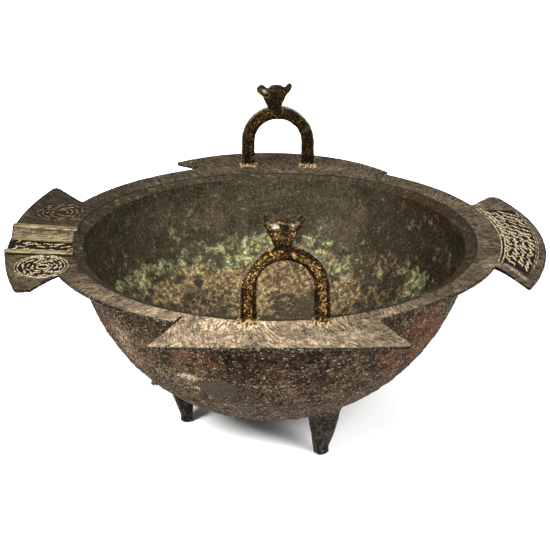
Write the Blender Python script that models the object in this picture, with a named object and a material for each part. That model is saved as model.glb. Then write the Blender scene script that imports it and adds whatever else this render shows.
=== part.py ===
"""Cast bronze tripod cauldron with four rim flanges, two arched handles and three feet.

Six castings, each its own object: bowl, handle_front, handle_back, foot_left, foot_front, foot_back.
Metres, Z up. The feet stand on z = 0, the middle of the plan is x = y = 0, and the trough points to -X.
The bowl's own origin is the middle of the rim plane, and heights in the rim count from that plane.
Sizes are in millimetres, bearings in degrees from +X, counter-clockwise.
"""
import math

import bmesh
import bpy
from mathutils import Vector

MM = 0.001

# bowl
MOUTH_R = 223.6          # inner edge of the rim plane
RIM_W = 26.4             # width of the plain rim
BOWL_DEPTH = 198.2       # rim plane down to the lowest point of the outer skin
CLEARANCE = 23.8         # lowest point of the outer skin above the floor
PLATE = 3.4              # thickness of the rim and of the flanges
CHAMFER = 0.7            # softening of the plate's edges
WALL_IN = 8.6            # outer skin, carried up to the rim plane, inside the mouth's edge
WALL_TOP = 4.4           # wall thickness under the rim
WALL_BOTTOM = 5.6        # and at the lowest point
WALL_P = 2.094           # shape powers of the outer skin, radius and depth
WALL_M = 1.771
THROAT_DROP = 5.5        # height of the bevel between the lip and the inner wall
LIP_SOFT = 1.3           # softening of the lip, inwards
LIP_SOFT_DROP = 0.9      # and downwards
FILLET_OUT = 3.5         # fillet under the rim, out from the outer skin
FILLET_DROP = 2.3        # and down from the plate
LEAN = 0.02              # the body drifts to -X by this share of its depth
RIM_DIP = (-7.5, -52.0, 22.0)     # rim narrower beside the fan: amount, bearing, width
LIP_FAR = (-9.5, 90.0, 30.0)      # lip further in at the far handle
LIP_NEAR = (3.4, -95.0, 40.0)     # lip further out at the near handle

# flanges, counter-clockwise: reach beyond the rim's edge and bearing of each corner
FAN_NOTCHES = ((1.2, -19.7), (0.9, 24.1))
FAN_CORNERS = ((48.8, -28.9), (50.2, -28.2), (41.4, 25.5), (38.6, 26.8), (31.6, 27.2))
BACK_NOTCHES = ((0.7, 58.0), (0.4, 111.6))
BACK_CORNERS = ((5.0, 57.3), (8.3, 57.6), (31.9, 115.0), (26.4, 115.3))
SPOUT_NOTCHES = ((0.3, 152.9), (-0.6, 204.5))
SPOUT_CORNERS = ((48.8, 147.9), (55.7, 147.7), (57.0, 148.6), (54.3, 208.5), (53.5, 209.4), (40.3, 210.5))
FRONT_NOTCHES = ((7.0, 247.0), (2.1, 295.0))
FRONT_CORNERS = ((59.3, 246.7), (62.2, 246.8), (65.2, 294.65), (61.2, 295.2))
FAN_ARC = 32.3           # rise of each flange's outer edge over its chord
BACK_ARC = 54.5
SPOUT_ARC = 28.0
FRONT_ARC = 4.0

# pouring trough across the spout flange
TROUGH_FLOOR = 8.0       # floor under the rim plane
TROUGH_PROUD = 0.8       # outer end past the flange's edge
TROUGH_IN = 6.6          # ridges end this far inside the mouth's edge
TROUGH_NEAR = (-36.0, -42.3)      # y of the channel's near side at its outer and inner end
TROUGH_FAR = (30.0, 16.8)         # y of its far side
TROUGH_SLOPE = 6.3       # each side wall leans in by this much on the way down
RIDGE_UP = 2.2           # ridges above the rim plane
RIDGE_NEAR_W = 13.4
RIDGE_FAR_W = 12.4
RIDGE_SOFT = 2.0         # chamfer along a ridge
RIDGE_BITE = 0.8         # a ridge reaches this far over the channel before it is cut
RIDGE_NEAR_MORE = 1.0    # the near ridge's inner end, further in
RIDGE_FAR_LESS = 1.5     # and the far ridge's, less far in

# engraved fields
ROUNDEL_IN = 4.2         # middle of a roundel inside the rim's edge
ROUNDEL_R = 28.0         # half of its width along X
# place of the middle and half of the height, as shares of the field between a ridge and the flange's side
ROUNDELS = {"near": (0.419, 0.446), "far": (0.410, 0.246)}
ROUNDEL_BORDER = 5.0     # from the outer ring groove to the inner one
ROUNDEL_GROOVE = 1.7
ROUNDEL_DEEP = 0.7
PANEL_IN = 0.5           # sunk field from this far inside the rim's edge
PANEL_OUT = 36.0         # to this far outside it
PANEL_INNER = (-15.5, 20.0)       # bearings at which its inner side starts and ends
PANEL_OUTER = (-22.5, 17.5)
PANEL_DEEP = 0.6

# arched handles
HANDLE_DEPTH = 13.0      # from the near face to the far one
HANDLE_IN_R = 28.4       # half of the opening
HANDLE_BAR = 15.8        # thickness of the bar in the plane of the arch
FACET = 3.3              # chamfer of the bar's section
LEG_FLARE = 1.3          # a leg widens by this much where it stands on the rim
LEG_THIN = 2.0           # and is this much thinner there on the bowl's side
CROWN_FRONT = 65.6       # top of the opening above the rim
CROWN_BACK = 60.7
SEAT_FRONT = 4.2         # middle of the bar outside the mouth's edge
SEAT_BACK = 17.6
SHIFT_FRONT = 11.1       # middle of the arch along X
SHIFT_BACK = 5.0
FORM_FRONT = ((1.8, 90.0, 14.0), (-3.4, 144.0, 22.0))     # swells of the outer curve, as RIM_DIP
FORM_BACK = ((-0.9, 40.0, 28.0),)

# animal heads on the handles
HEAD_TALL = 30.6         # from the top of the arch to the ears' tips
HEAD_FRONT = -2.4        # head beside the middle of the arch
HEAD_BACK = -4.3
EARS_FRONT = (0.0, 0.4)  # left and right ear lifted by this much
EARS_BACK = (-5.0, -1.4)

# feet
FOOT_RING = 100.5        # tips stand on a ring of this radius
FOOT_BEARINGS = {"foot_left": -175.9, "foot_front": -59.0, "foot_back": 62.8}
FOOT_RADIAL = 7.0        # half sizes of a tip
FOOT_ALONG = 8.4
FOOT_SIDES = 12

GAP = 0.3                # air between two castings

# sizes that follow
RIM_R = MOUTH_R + RIM_W
WALL_R = MOUTH_R - WALL_IN
RIM_Z = BOWL_DEPTH + CLEARANCE
BASE_R = RIM_R - 0.42 * RIM_W     # ring inside the rim from which the flanges start

# how finely the curves are cut
RIM_STEP = 4.2
WALL_STEPS = (0.08, 0.18, 0.28, 0.39, 0.50, 0.60, 0.70, 0.80, 0.89, 0.96)
SKIN_FROM = 3            # the skin that trims the feet starts at this step of the wall
ARCH_STEPS = 18
RING_STEPS = 28
PANEL_STEPS = 12


def clear_scene():
    for ob in list(bpy.data.objects):
        bpy.data.objects.remove(ob, do_unlink=True)


def bronze(name, colour, rough):
    mat = bpy.data.materials.new(name)
    mat.use_nodes = True
    shader = mat.node_tree.nodes["Principled BSDF"]
    shader.inputs["Base Color"].default_value = (*colour, 1.0)
    shader.inputs["Metallic"].default_value = 0.85
    shader.inputs["Roughness"].default_value = rough
    return mat


def finish_mesh(name, bm, mat=None):
    """Mesh from a bmesh, faces turned outwards and round stretches shaded smooth."""
    bmesh.ops.recalc_face_normals(bm, faces=bm.faces)
    mesh = bpy.data.meshes.new(name)
    bm.to_mesh(mesh)
    bm.free()
    mesh.shade_smooth()
    mesh.set_sharp_from_angle(angle=math.radians(32.0))
    if mat is not None:
        mesh.materials.append(mat)
    return mesh


def put(name, mesh, parent, location=(0.0, 0.0, 0.0), turn=0.0):
    """Object on a mesh, at a place in its parent's own space, in millimetres and degrees."""
    ob = bpy.data.objects.new(name, mesh)
    bpy.context.collection.objects.link(ob)
    ob.parent = parent
    ob.location = Vector(location) * MM
    ob.rotation_euler = (0.0, 0.0, math.radians(turn))
    return ob


def combine(target, other, operation):
    """Live Boolean with a helper object, which is not part of the result."""
    other.hide_render = True
    other.display_type = "WIRE"
    mod = target.modifiers.new(other.name + "_" + operation.lower(), "BOOLEAN")
    mod.operation = operation
    mod.solver = "EXACT"
    mod.object = other


def loft(name, rings, mat=None, tips=()):
    """Solid mesh through rings of points: the first is filled, then extruded from ring to ring.

    With two tips, the first and the last face become fans round those points.
    """
    bm = bmesh.new()
    first = bm.faces.new([bm.verts.new(Vector(p) * MM) for p in rings[0]])
    cap = first
    for ring in rings[1:]:
        behind = cap
        grown = bmesh.ops.extrude_face_region(bm, geom=[behind])
        cap = next(part for part in grown["geom"] if isinstance(part, bmesh.types.BMFace))
        if behind is not first:
            bmesh.ops.delete(bm, geom=[behind], context="FACES_ONLY")
        for vert, p in zip(cap.verts, ring):
            vert.co = Vector(p) * MM
    for face, tip in zip((first, cap), tips):
        fan = bmesh.ops.poke(bm, faces=[face])
        fan["verts"][0].co = Vector(tip) * MM
    return finish_mesh(name, bm, mat)


def swell(angle, form):
    """Smooth hill round a bearing: form holds its amount, its bearing and its width."""
    amount, centre, width = form
    away = (angle - centre + 180.0) % 360.0 - 180.0
    return amount * math.exp(-(away / width) ** 2)


def polar(radius, angle):
    a = math.radians(angle)
    return (radius * math.cos(a), radius * math.sin(a))


def bearing(point):
    return math.degrees(math.atan2(point[1], point[0]))


def arc_points(p, q, rise, count):
    """Points from p to q, both included, on an arc that bulges to the right of p to q by rise."""
    if rise == 0.0:
        return [(p[0] + (q[0] - p[0]) * i / count, p[1] + (q[1] - p[1]) * i / count)
                for i in range(count + 1)]
    start = Vector(p)
    chord = Vector(q) - start
    half = chord.length / 2
    right = Vector((chord.y, -chord.x)).normalized()
    radius = (half * half + rise * rise) / (2 * rise)
    centre = start + chord / 2 + right * (rise - radius)
    first = bearing(start - centre)
    sweep = (bearing(Vector(q) - centre) - first) % 360.0
    points = []
    for i in range(count + 1):
        x, y = polar(radius, first + sweep * i / count)
        points.append((centre.x + x, centre.y + y))
    return points


def flange(notches, corners, first, last, rise, count):
    """Outline from notch to notch; corners `first` to `last` bound the outer arc."""
    points = [polar(RIM_R + reach, at) for reach, at in corners]
    start, end = [polar(RIM_R + reach, at) for reach, at in notches]
    path = arc_points(start, points[0], 0.0, 2)[:-1]
    path += points[:first]
    path += arc_points(points[first], points[last], rise, count)
    path += points[last + 1:]
    path += arc_points(path[-1], end, 0.0, 2)[1:]
    return path


def fan_flange():
    return flange(FAN_NOTCHES, FAN_CORNERS, 1, 2, FAN_ARC, 10)


def back_flange():
    return flange(BACK_NOTCHES, BACK_CORNERS, 1, 2, BACK_ARC, 13)


def spout_flange():
    return flange(SPOUT_NOTCHES, SPOUT_CORNERS, 2, 3, SPOUT_ARC, 10)


def front_flange():
    return flange(FRONT_NOTCHES, FRONT_CORNERS, 1, 2, FRONT_ARC, 11)


def outline():
    """The whole plan outline, and for each point its bearing on the rings inside it."""
    parts = [fan_flange(), back_flange(), spout_flange(), front_flange()]
    points = []
    bearings = []
    for part, following in zip(parts, parts[1:] + parts[:1]):
        start = bearing(part[0])
        sweep = (bearing(part[-1]) - start) % 360.0
        run = [0.0]
        for a, b in zip(part, part[1:]):
            run.append(run[-1] + math.dist(a, b))
        points += part
        bearings += [start + sweep * length / run[-1] for length in run]
        end = start + sweep
        gap = (bearing(following[0]) - end) % 360.0
        steps = max(2, round(gap / RIM_STEP))
        for i in range(1, steps):
            at = end + gap * i / steps
            points.append(polar(RIM_R + swell(at, RIM_DIP), at))
            bearings.append(at)
    return points, bearings


def inset(points, distance):
    """Closed outline moved inwards; a sharp corner moves at most three times the distance."""
    moved = []
    for i, here in enumerate(points):
        here = Vector(here)
        before = (here - Vector(points[i - 1])).normalized()
        after = (Vector(points[(i + 1) % len(points)]) - here).normalized()
        inward = Vector((-before.y - after.y, before.x + after.x)).normalized()
        share = inward.dot(Vector((-before.y, before.x)))
        moved.append(here + inward * distance * min(3.0, 1.0 / max(share, 0.2)))
    return moved


def skin_point(t):
    """Outer skin from t = 0, in the rim plane, to t = 1, at the lowest point: radius and height."""
    a = t * math.pi / 2
    return (WALL_R * max(math.cos(a), 0.0) ** (2 / WALL_P),
            -BOWL_DEPTH * math.sin(a) ** (2 / WALL_M))


def wall_point(t, outside):
    """Point beside the outer skin, moved outwards by a distance; inwards when it is negative."""
    r, z = skin_point(t)
    above = skin_point(t - 0.01)
    below = skin_point(t + 0.01)
    slope = Vector((below[0] - above[0], below[1] - above[1])).normalized()
    return (r - slope.y * outside, z + slope.x * outside)


def around(radius, z, bearings):
    """Ring of points; a radius may be a function of the bearing."""
    drift = LEAN * min(z + THROAT_DROP, 0.0)
    ring = []
    for at in bearings:
        x, y = polar(radius(at) if callable(radius) else radius, at)
        ring.append((x + drift, y, z))
    return ring


def lowest(z):
    """Point on the bowl's drifting axis."""
    return (LEAN * (THROAT_DROP - BOWL_DEPTH), 0.0, z)


def lip_radius(at):
    return MOUTH_R + swell(at, LIP_FAR) + swell(at, LIP_NEAR)


def make_bowl(parent, mat):
    """Bowl and plate in one skin: from the floor inside up over the lip, the edge and down outside."""
    edge, bearings = outline()
    top_edge = inset(edge, CHAMFER)
    rings = []
    for t in reversed(WALL_STEPS):
        thick = WALL_TOP + (WALL_BOTTOM - WALL_TOP) * t
        rings.append(around(*wall_point(t, -thick), bearings))
    rings.append(around(WALL_R - WALL_TOP, -THROAT_DROP, bearings))
    rings.append(around(lambda at: lip_radius(at) - LIP_SOFT, -LIP_SOFT_DROP, bearings))
    rings.append(around(lip_radius, 0.0, bearings))
    rings.append(around(BASE_R, 0.0, bearings))
    rings.append([(x, y, 0.0) for x, y in top_edge])
    rings.append([(x, y, -CHAMFER) for x, y in edge])
    rings.append([(x, y, CHAMFER - PLATE) for x, y in edge])
    rings.append([(x, y, -PLATE) for x, y in top_edge])
    rings.append(around(BASE_R - 1.15 * FILLET_OUT, -PLATE - 0.13 * FILLET_DROP, bearings))
    rings.append(around(WALL_R + FILLET_OUT, -PLATE - FILLET_DROP, bearings))
    for t in WALL_STEPS:
        rings.append(around(*skin_point(t), bearings))
    tips = (lowest(WALL_BOTTOM - BOWL_DEPTH), lowest(-BOWL_DEPTH))
    return put("bowl", loft("bowl", rings, mat, tips), parent, (0.0, 0.0, RIM_Z))


def make_skin(bowl):
    """Body with the bowl's outer skin, GAP larger, that trims the tops of the feet."""
    bearings = outline()[1]
    rings = [around(*wall_point(t, GAP), bearings) for t in WALL_STEPS[SKIN_FROM:]]
    tips = ((0.0, 0.0, rings[0][0][2]), lowest(-BOWL_DEPTH - GAP))
    return put("bowl_skin", loft("bowl_skin", rings, None, tips), bowl)


def channel_side(side, x, outer, inner):
    """y of one side of the channel at x, on the line between its two ends."""
    return side[0] + (side[1] - side[0]) * (x - outer) / (inner - outer)


def add_bar(name, section, x0, x1, bowl, operation):
    """Bar along X whose section, points of y and height, is asked for at each end."""
    rings = [[(x, y, z) for y, z in section(x)] for x in (x0, x1)]
    combine(bowl, put(name, loft(name, rings), bowl), operation)


def trough_ends():
    """x of the ridges' outer and inner end."""
    return min(x for x, y in spout_flange()) - TROUGH_PROUD, -(MOUTH_R - TROUGH_IN)


def sides(x):
    """y of the channel's near and far side at x."""
    outer, inner = trough_ends()
    return channel_side(TROUGH_NEAR, x, outer, inner), channel_side(TROUGH_FAR, x, outer, inner)


def add_trough(bowl):
    """Channel with its two ridges, from the flange's edge to the inside of the wall."""
    outer, inner = trough_ends()
    under = TROUGH_FLOOR + PLATE

    def body(x):
        near, far = sides(x)
        lean = TROUGH_SLOPE - PLATE
        return [(near - PLATE, -PLATE / 2), (near + lean, -under), (far - lean, -under),
                (far + PLATE, -PLATE / 2)]

    def ridge(near, far):
        return [(near, -PLATE), (far, -PLATE), (far, RIDGE_UP - RIDGE_SOFT), (far - RIDGE_SOFT, RIDGE_UP),
                (near + RIDGE_SOFT, RIDGE_UP), (near, RIDGE_UP - RIDGE_SOFT)]

    def ridge_near(x):
        near = sides(x)[0]
        return ridge(near - RIDGE_NEAR_W, near + RIDGE_BITE)

    def ridge_far(x):
        far = sides(x)[1]
        return ridge(far - RIDGE_BITE, far + RIDGE_FAR_W)

    def channel(x):
        near, far = sides(x)
        top = 2 * RIDGE_UP
        return [(near, top), (near, 0.0), (near + TROUGH_SLOPE, -TROUGH_FLOOR),
                (far - TROUGH_SLOPE, -TROUGH_FLOOR), (far, 0.0), (far, top)]
    add_bar("trough_body", body, outer + TROUGH_PROUD / 2, -(WALL_R - WALL_TOP * 0.35), bowl, "UNION")
    add_bar("ridge_near", ridge_near, outer, inner - RIDGE_NEAR_MORE, bowl, "UNION")
    add_bar("ridge_far", ridge_far, outer, inner + RIDGE_FAR_LESS, bowl, "UNION")
    add_bar("channel", channel, outer - TROUGH_FLOOR, inner + 2.5 * TROUGH_FLOOR, bowl, "DIFFERENCE")


def add_ring_groove(name, x, y, half_x, half_y, bowl):
    """Oval groove: a small section spun round the middle, then drawn out along Y."""
    bm = bmesh.new()
    outer = half_x * MM
    inner = (half_x - ROUNDEL_GROOVE) * MM
    top = MM
    floor = -ROUNDEL_DEEP * MM
    section = ((outer, 0.0, top), (outer, 0.0, floor), (inner, 0.0, floor), (inner, 0.0, top))
    corners = [bm.verts.new(corner) for corner in section]
    sides = [bm.edges.new((a, b)) for a, b in zip(corners, corners[1:] + corners[:1])]
    bmesh.ops.spin(bm, geom=corners + sides, cent=(0.0, 0.0, 0.0), axis=(0.0, 0.0, 1.0),
                   angle=2 * math.pi, steps=RING_STEPS, use_merge=True)
    bmesh.ops.scale(bm, vec=(1.0, half_y / half_x, 1.0), verts=bm.verts)
    combine(bowl, put(name, finish_mesh(name, bm), bowl, (x, y, 0.0)), "DIFFERENCE")


def flange_side(notch, corner, x):
    """y at x of the straight side from a notch of the spout flange to its corner."""
    a = polar(RIM_R + notch[0], notch[1])
    b = polar(RIM_R + corner[0], corner[1])
    return a[1] + (b[1] - a[1]) * (x - a[0]) / (b[0] - a[0])


def engrave_roundels(bowl):
    """Two ring grooves on each side of the trough, between its ridge and the flange's side."""
    x = ROUNDEL_IN - RIM_R
    near, far = sides(x)
    fields = {"near": (near - RIDGE_NEAR_W, flange_side(SPOUT_NOTCHES[1], SPOUT_CORNERS[4], x)),
              "far": (far + RIDGE_FAR_W, flange_side(SPOUT_NOTCHES[0], SPOUT_CORNERS[1], x))}
    for side, (place, half) in ROUNDELS.items():
        start, end = fields[side]
        y = start + (end - start) * place
        half_y = abs(end - start) * half
        for ring, step in (("outer", 0.0), ("inner", ROUNDEL_BORDER)):
            add_ring_groove("groove_" + ring + "_" + side, x, y, ROUNDEL_R - step, half_y - step, bowl)


def sink_panel(bowl):
    """Sunk field of the fan flange, between two arcs round the bowl."""
    plan = []
    for i in range(PANEL_STEPS + 1):
        at = PANEL_INNER[0] + (PANEL_INNER[1] - PANEL_INNER[0]) * i / PANEL_STEPS
        plan.append(polar(RIM_R - PANEL_IN, at))
    for i in range(PANEL_STEPS + 1):
        at = PANEL_OUTER[1] + (PANEL_OUTER[0] - PANEL_OUTER[1]) * i / PANEL_STEPS
        plan.append(polar(RIM_R + PANEL_OUT, at))
    rings = [[(x, y, z) for x, y in plan] for z in (-PANEL_DEEP, 1.0)]
    combine(bowl, put("panel_field", loft("panel_field", rings), bowl), "DIFFERENCE")


def bar_section(middle, across, half_w, half_d, facet):
    """Rectangle with cut corners: half_w along `across`, in the XZ plane, and half_d along Y."""
    cut = min(facet, 0.8 * half_w, 0.8 * half_d)
    w = half_w - cut
    d = half_d - cut
    plan = ((half_w, -d), (half_w, d), (w, half_d), (-w, half_d), (-half_w, d), (-half_w, -d),
            (-w, -half_d), (w, -half_d))
    return [(middle[0] + across[0] * u, middle[1] + v, middle[2] + across[1] * u) for u, v in plan]


def arch_rings(crown, form, outward):
    """Sections of the bar, up one leg, over the arch and down the other; z = 0 under the legs."""
    spring = crown - HANDLE_IN_R
    half = HANDLE_BAR / 2
    # share of the leg's height, share of the flare, share of the thinning
    leg = ((0.0, 1.0, 1.0), (0.1, 0.25, 0.8), (0.28, 0.0, 0.4), (0.62, 0.0, 0.0))

    def leg_ring(side, up, flare, thin):
        thin = LEG_THIN * thin / 2
        middle = (side * (HANDLE_IN_R + half), outward * thin, up * spring)
        return bar_section(middle, (side, 0.0), half + LEG_FLARE * flare, HANDLE_DEPTH / 2 - thin, FACET)
    rings = [leg_ring(-1.0, *row) for row in leg]
    for i in range(ARCH_STEPS + 1):
        at = 180.0 - 180.0 * i / ARCH_STEPS
        outer = HANDLE_IN_R + HANDLE_BAR + sum(swell(at, hill) for hill in form)
        x, z = polar((HANDLE_IN_R + outer) / 2, at)
        rings.append(bar_section((x, 0.0, spring + z), polar(1.0, at), (outer - HANDLE_IN_R) / 2,
                                 HANDLE_DEPTH / 2, FACET))
    rings += [leg_ring(1.0, *row) for row in reversed(leg)]
    return rings


def add_head(handle, beside, arch_top, ears):
    """Head that widens upwards, with two ears and a snout; sizes are shares of HEAD_TALL."""
    def level(up, left, right, deep, forward=0.0, facet=0.07):
        middle = (beside + (right - left) / 2 * HEAD_TALL, -forward * HEAD_TALL, arch_top + up * HEAD_TALL)
        return bar_section(middle, (-1.0, 0.0), (left + right) / 2 * HEAD_TALL, deep * HEAD_TALL,
                           facet * HEAD_TALL)

    def join(tag, rings):
        name = handle.name + "_" + tag
        combine(handle, put(name, loft(name, rings), handle), "UNION")
    join("head", [level(-0.26, 0.19, 0.19, 0.163), level(-0.06, 0.24, 0.23, 0.19),
                  level(0.13, 0.26, 0.245, 0.206), level(0.43, 0.40, 0.37, 0.242),
                  level(0.66, 0.50, 0.48, 0.242)])
    # outwards, up, half sizes across and deep, share of the ear's lift
    spine = ((0.27, 0.51, 0.170, 0.209, 0.0), (0.44, 0.68, 0.163, 0.183, 0.5),
             (0.575, 0.84, 0.137, 0.144, 1.0), (0.65, 0.94, 0.085, 0.085, 1.0))
    for tag, side, lift in (("ear_left", -1.0, ears[0]), ("ear_right", 1.0, ears[1])):
        rings = []
        for out, up, wide, deep, share in spine:
            middle = (beside + side * out * HEAD_TALL, 0.0, arch_top + up * HEAD_TALL + share * lift)
            rings.append(bar_section(middle, (-0.72 * side, 0.69), wide * HEAD_TALL, deep * HEAD_TALL,
                                     0.45 * min(wide, deep) * HEAD_TALL))
        join(tag, rings)
    join("snout", [level(0.46, 0.118, 0.118, 0.150, 0.111, 0.05), level(0.72, 0.124, 0.124, 0.144, 0.105, 0.05),
                   level(0.84, 0.065, 0.065, 0.078, 0.085, 0.03)])


def make_handle(name, place, outward, crown, form, beside, ears, bowl, mat):
    """Handle that stands on the rim plane with a hair of air; `outward` is its way out along Y."""
    crown -= GAP
    mesh = loft(name, arch_rings(crown, form, outward), mat)
    handle = put(name, mesh, bowl, (place[0], place[1], GAP))
    add_head(handle, beside, crown + HANDLE_BAR, ears)


def skin_height(radius):
    """Height of the outer skin above the floor at a distance from the bowl's axis."""
    low, high = 0.0, 1.0
    for _ in range(40):
        middle = (low + high) / 2
        if skin_point(middle)[0] > radius:
            low = middle
        else:
            high = middle
    return RIM_Z + skin_point(low)[1]


def foot_mesh(mat):
    """Tapered foot: x points away from the bowl's axis, y runs along the ring of feet."""
    tall = skin_height(FOOT_RING)
    # shares: of the height, of FOOT_RADIAL for the shift outwards, and of the two half sizes
    rows = ((0.0, 0.0, 0.66, 0.64), (0.05, 0.0, 1.0, 0.98), (0.15, -0.04, 1.0, 1.04), (0.26, 0.04, 1.09, 1.15),
            (0.48, 0.26, 1.44, 1.40), (0.74, 0.49, 1.80, 1.68), (1.0, 0.71, 2.06, 1.90), (1.5, 1.0, 2.43, 2.26))

    def squarish(value):
        return math.copysign(abs(value) ** 0.72, value)
    rings = []
    for share, shift, out, along in rows:
        ring = []
        for i in range(FOOT_SIDES):
            a = 2 * math.pi * (i + 0.5) / FOOT_SIDES
            ring.append((squarish(math.cos(a)) * out * FOOT_RADIAL + shift * FOOT_RADIAL,
                         squarish(math.sin(a)) * along * FOOT_ALONG, share * tall))
        rings.append(ring)
    return loft("foot", rings, mat)


def make_feet(parent, skin, mat):
    mesh = foot_mesh(mat)
    for name, at in FOOT_BEARINGS.items():
        x, y = polar(FOOT_RING, at)
        combine(put(name, mesh, parent, (x, y, 0.0), at), skin, "DIFFERENCE")


def plan_middle():
    """Middle of the plan's own box, measured from the middle of the rim."""
    points = outline()[0]
    along = [x for x, y in points]
    across = [y for x, y in points]
    return ((min(along) - TROUGH_PROUD + max(along)) / 2, (min(across) + max(across)) / 2)


def make_cauldron():
    clear_scene()
    x, y = plan_middle()
    cauldron = put("cauldron", None, None, (-x, -y, 0.0))
    bowl = make_bowl(cauldron, bronze("bowl_bronze", (0.20, 0.14, 0.09), 0.62))
    add_trough(bowl)
    engrave_roundels(bowl)
    sink_panel(bowl)
    handle_mat = bronze("handle_bronze", (0.09, 0.06, 0.03), 0.45)
    make_handle("handle_front", (SHIFT_FRONT, -(MOUTH_R + SEAT_FRONT)), -1.0, CROWN_FRONT, FORM_FRONT,
                HEAD_FRONT, EARS_FRONT, bowl, handle_mat)
    make_handle("handle_back", (SHIFT_BACK, MOUTH_R + SEAT_BACK), 1.0, CROWN_BACK, FORM_BACK,
                HEAD_BACK, EARS_BACK, bowl, handle_mat)
    make_feet(cauldron, make_skin(bowl), bronze("foot_bronze", (0.06, 0.05, 0.04), 0.60))


make_cauldron()
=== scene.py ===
"""Looks of a cast bronze tripod cauldron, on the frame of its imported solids.

Places are millimetres from the middle of the rim plane, and bearings degrees from +X.
They turn into metres of the frame when a mesh is made.
"""
import math
import random

import bmesh
import bpy
import numpy as np
from mathutils import Matrix, Vector, noise


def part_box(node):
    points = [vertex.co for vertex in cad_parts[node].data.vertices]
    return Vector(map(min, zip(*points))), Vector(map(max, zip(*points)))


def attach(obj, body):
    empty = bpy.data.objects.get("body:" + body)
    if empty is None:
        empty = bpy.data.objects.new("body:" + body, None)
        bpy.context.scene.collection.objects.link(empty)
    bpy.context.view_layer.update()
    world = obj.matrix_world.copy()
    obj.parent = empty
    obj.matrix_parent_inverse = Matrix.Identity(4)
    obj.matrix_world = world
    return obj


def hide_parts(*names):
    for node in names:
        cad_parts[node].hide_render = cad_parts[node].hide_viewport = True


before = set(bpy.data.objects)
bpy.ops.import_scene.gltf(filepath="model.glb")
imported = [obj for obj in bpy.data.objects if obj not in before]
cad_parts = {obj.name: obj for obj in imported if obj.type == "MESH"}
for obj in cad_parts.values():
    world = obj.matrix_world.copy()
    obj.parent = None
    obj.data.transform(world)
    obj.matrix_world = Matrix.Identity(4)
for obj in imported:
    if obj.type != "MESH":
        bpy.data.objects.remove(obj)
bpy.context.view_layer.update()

MM = 0.001

# bowl, as in the solids
MOUTH_R = 223.6
RIM_W = 26.4
BOWL_DEPTH = 198.2
PLATE = 3.4
WALL_IN = 8.6
WALL_TOP = 4.4
WALL_BOTTOM = 5.6
WALL_P = 2.094
WALL_M = 1.771
THROAT_DROP = 5.5
LIP_SOFT = 1.3
LIP_SOFT_DROP = 0.9
FILLET_OUT = 3.5
FILLET_DROP = 2.3
LEAN = 0.02
RIM_DIP = (-7.5, -52, 22)
LIP_FAR = (-9.5, 90, 30)
LIP_NEAR = (3.4, -95, 40)
RIM_R = MOUTH_R + RIM_W
WALL_R = MOUTH_R - WALL_IN
THROAT_R = WALL_R - WALL_TOP
BASE_R = RIM_R - 0.42 * RIM_W

# flanges: reach beyond the rim and bearing of notches and corners, the outer arc's two corners and its rise
FAN = (((1.2, -19.7), (0.9, 24.1)),
       ((48.8, -28.9), (50.2, -28.2), (41.4, 25.5), (38.6, 26.8), (31.6, 27.2)), 1, 2, 32.3)
BACK = (((0.7, 58), (0.4, 111.6)), ((5, 57.3), (8.3, 57.6), (31.9, 115), (26.4, 115.3)), 1, 2, 54.5)
SPOUT = (((0.3, 152.9), (-0.6, 204.5)),
         ((48.8, 147.9), (55.7, 147.7), (57, 148.6), (54.3, 208.5), (53.5, 209.4), (40.3, 210.5)), 2, 3, 28)
FRONT = (((7, 247), (2.1, 295)), ((59.3, 246.7), (62.2, 246.8), (65.2, 294.65), (61.2, 295.2)), 1, 2, 4)
EDGE_SOFT = 0.8          # rounding of the plate's edges
EDGE_TURNS = (30, 60, 90)

# pouring trough
TROUGH_FLOOR = 8
TROUGH_PROUD = 0.8
TROUGH_IN = 6.6
TROUGH_NEAR = (-36, -42.3)
TROUGH_FAR = (30, 16.8)
TROUGH_SLOPE = 6.3
RIDGE_UP = 2.2
RIDGE_NEAR_W = 13.4
RIDGE_FAR_W = 12.4
RIDGE_NEAR_END = -7.6    # inner end of each ridge, along X from the mouth's edge
RIDGE_FAR_END = -5.1
TROUGH_WIDE = 40         # about the channel's width, for the plate's underside
TROUGH_STEPS = 16        # lines across the channel's floor
RIM_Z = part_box("bowl")[1].z / MM - RIDGE_UP

# arched handles
HANDLE_DEPTH = 13
HANDLE_IN_R = 28.4
HANDLE_BAR = 15.8
FACET = 3.3
LEG_FLARE = 1.3
LEG_THIN = 2
SINK = 0.6               # legs reach this far into the plate
HEAD_TALL = 30.6
HOLLOW_DEEP = 0.15       # depth of the head's hollows, as a share of its height
GROOVE_DEEP = 0.9
ARCH_STEPS = 40
HANDLE_VOXEL = 0.5
HANDLE_SOFTEN = 2        # rounds of smoothing
CRUMBS = 60              # at the foot of each leg
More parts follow.
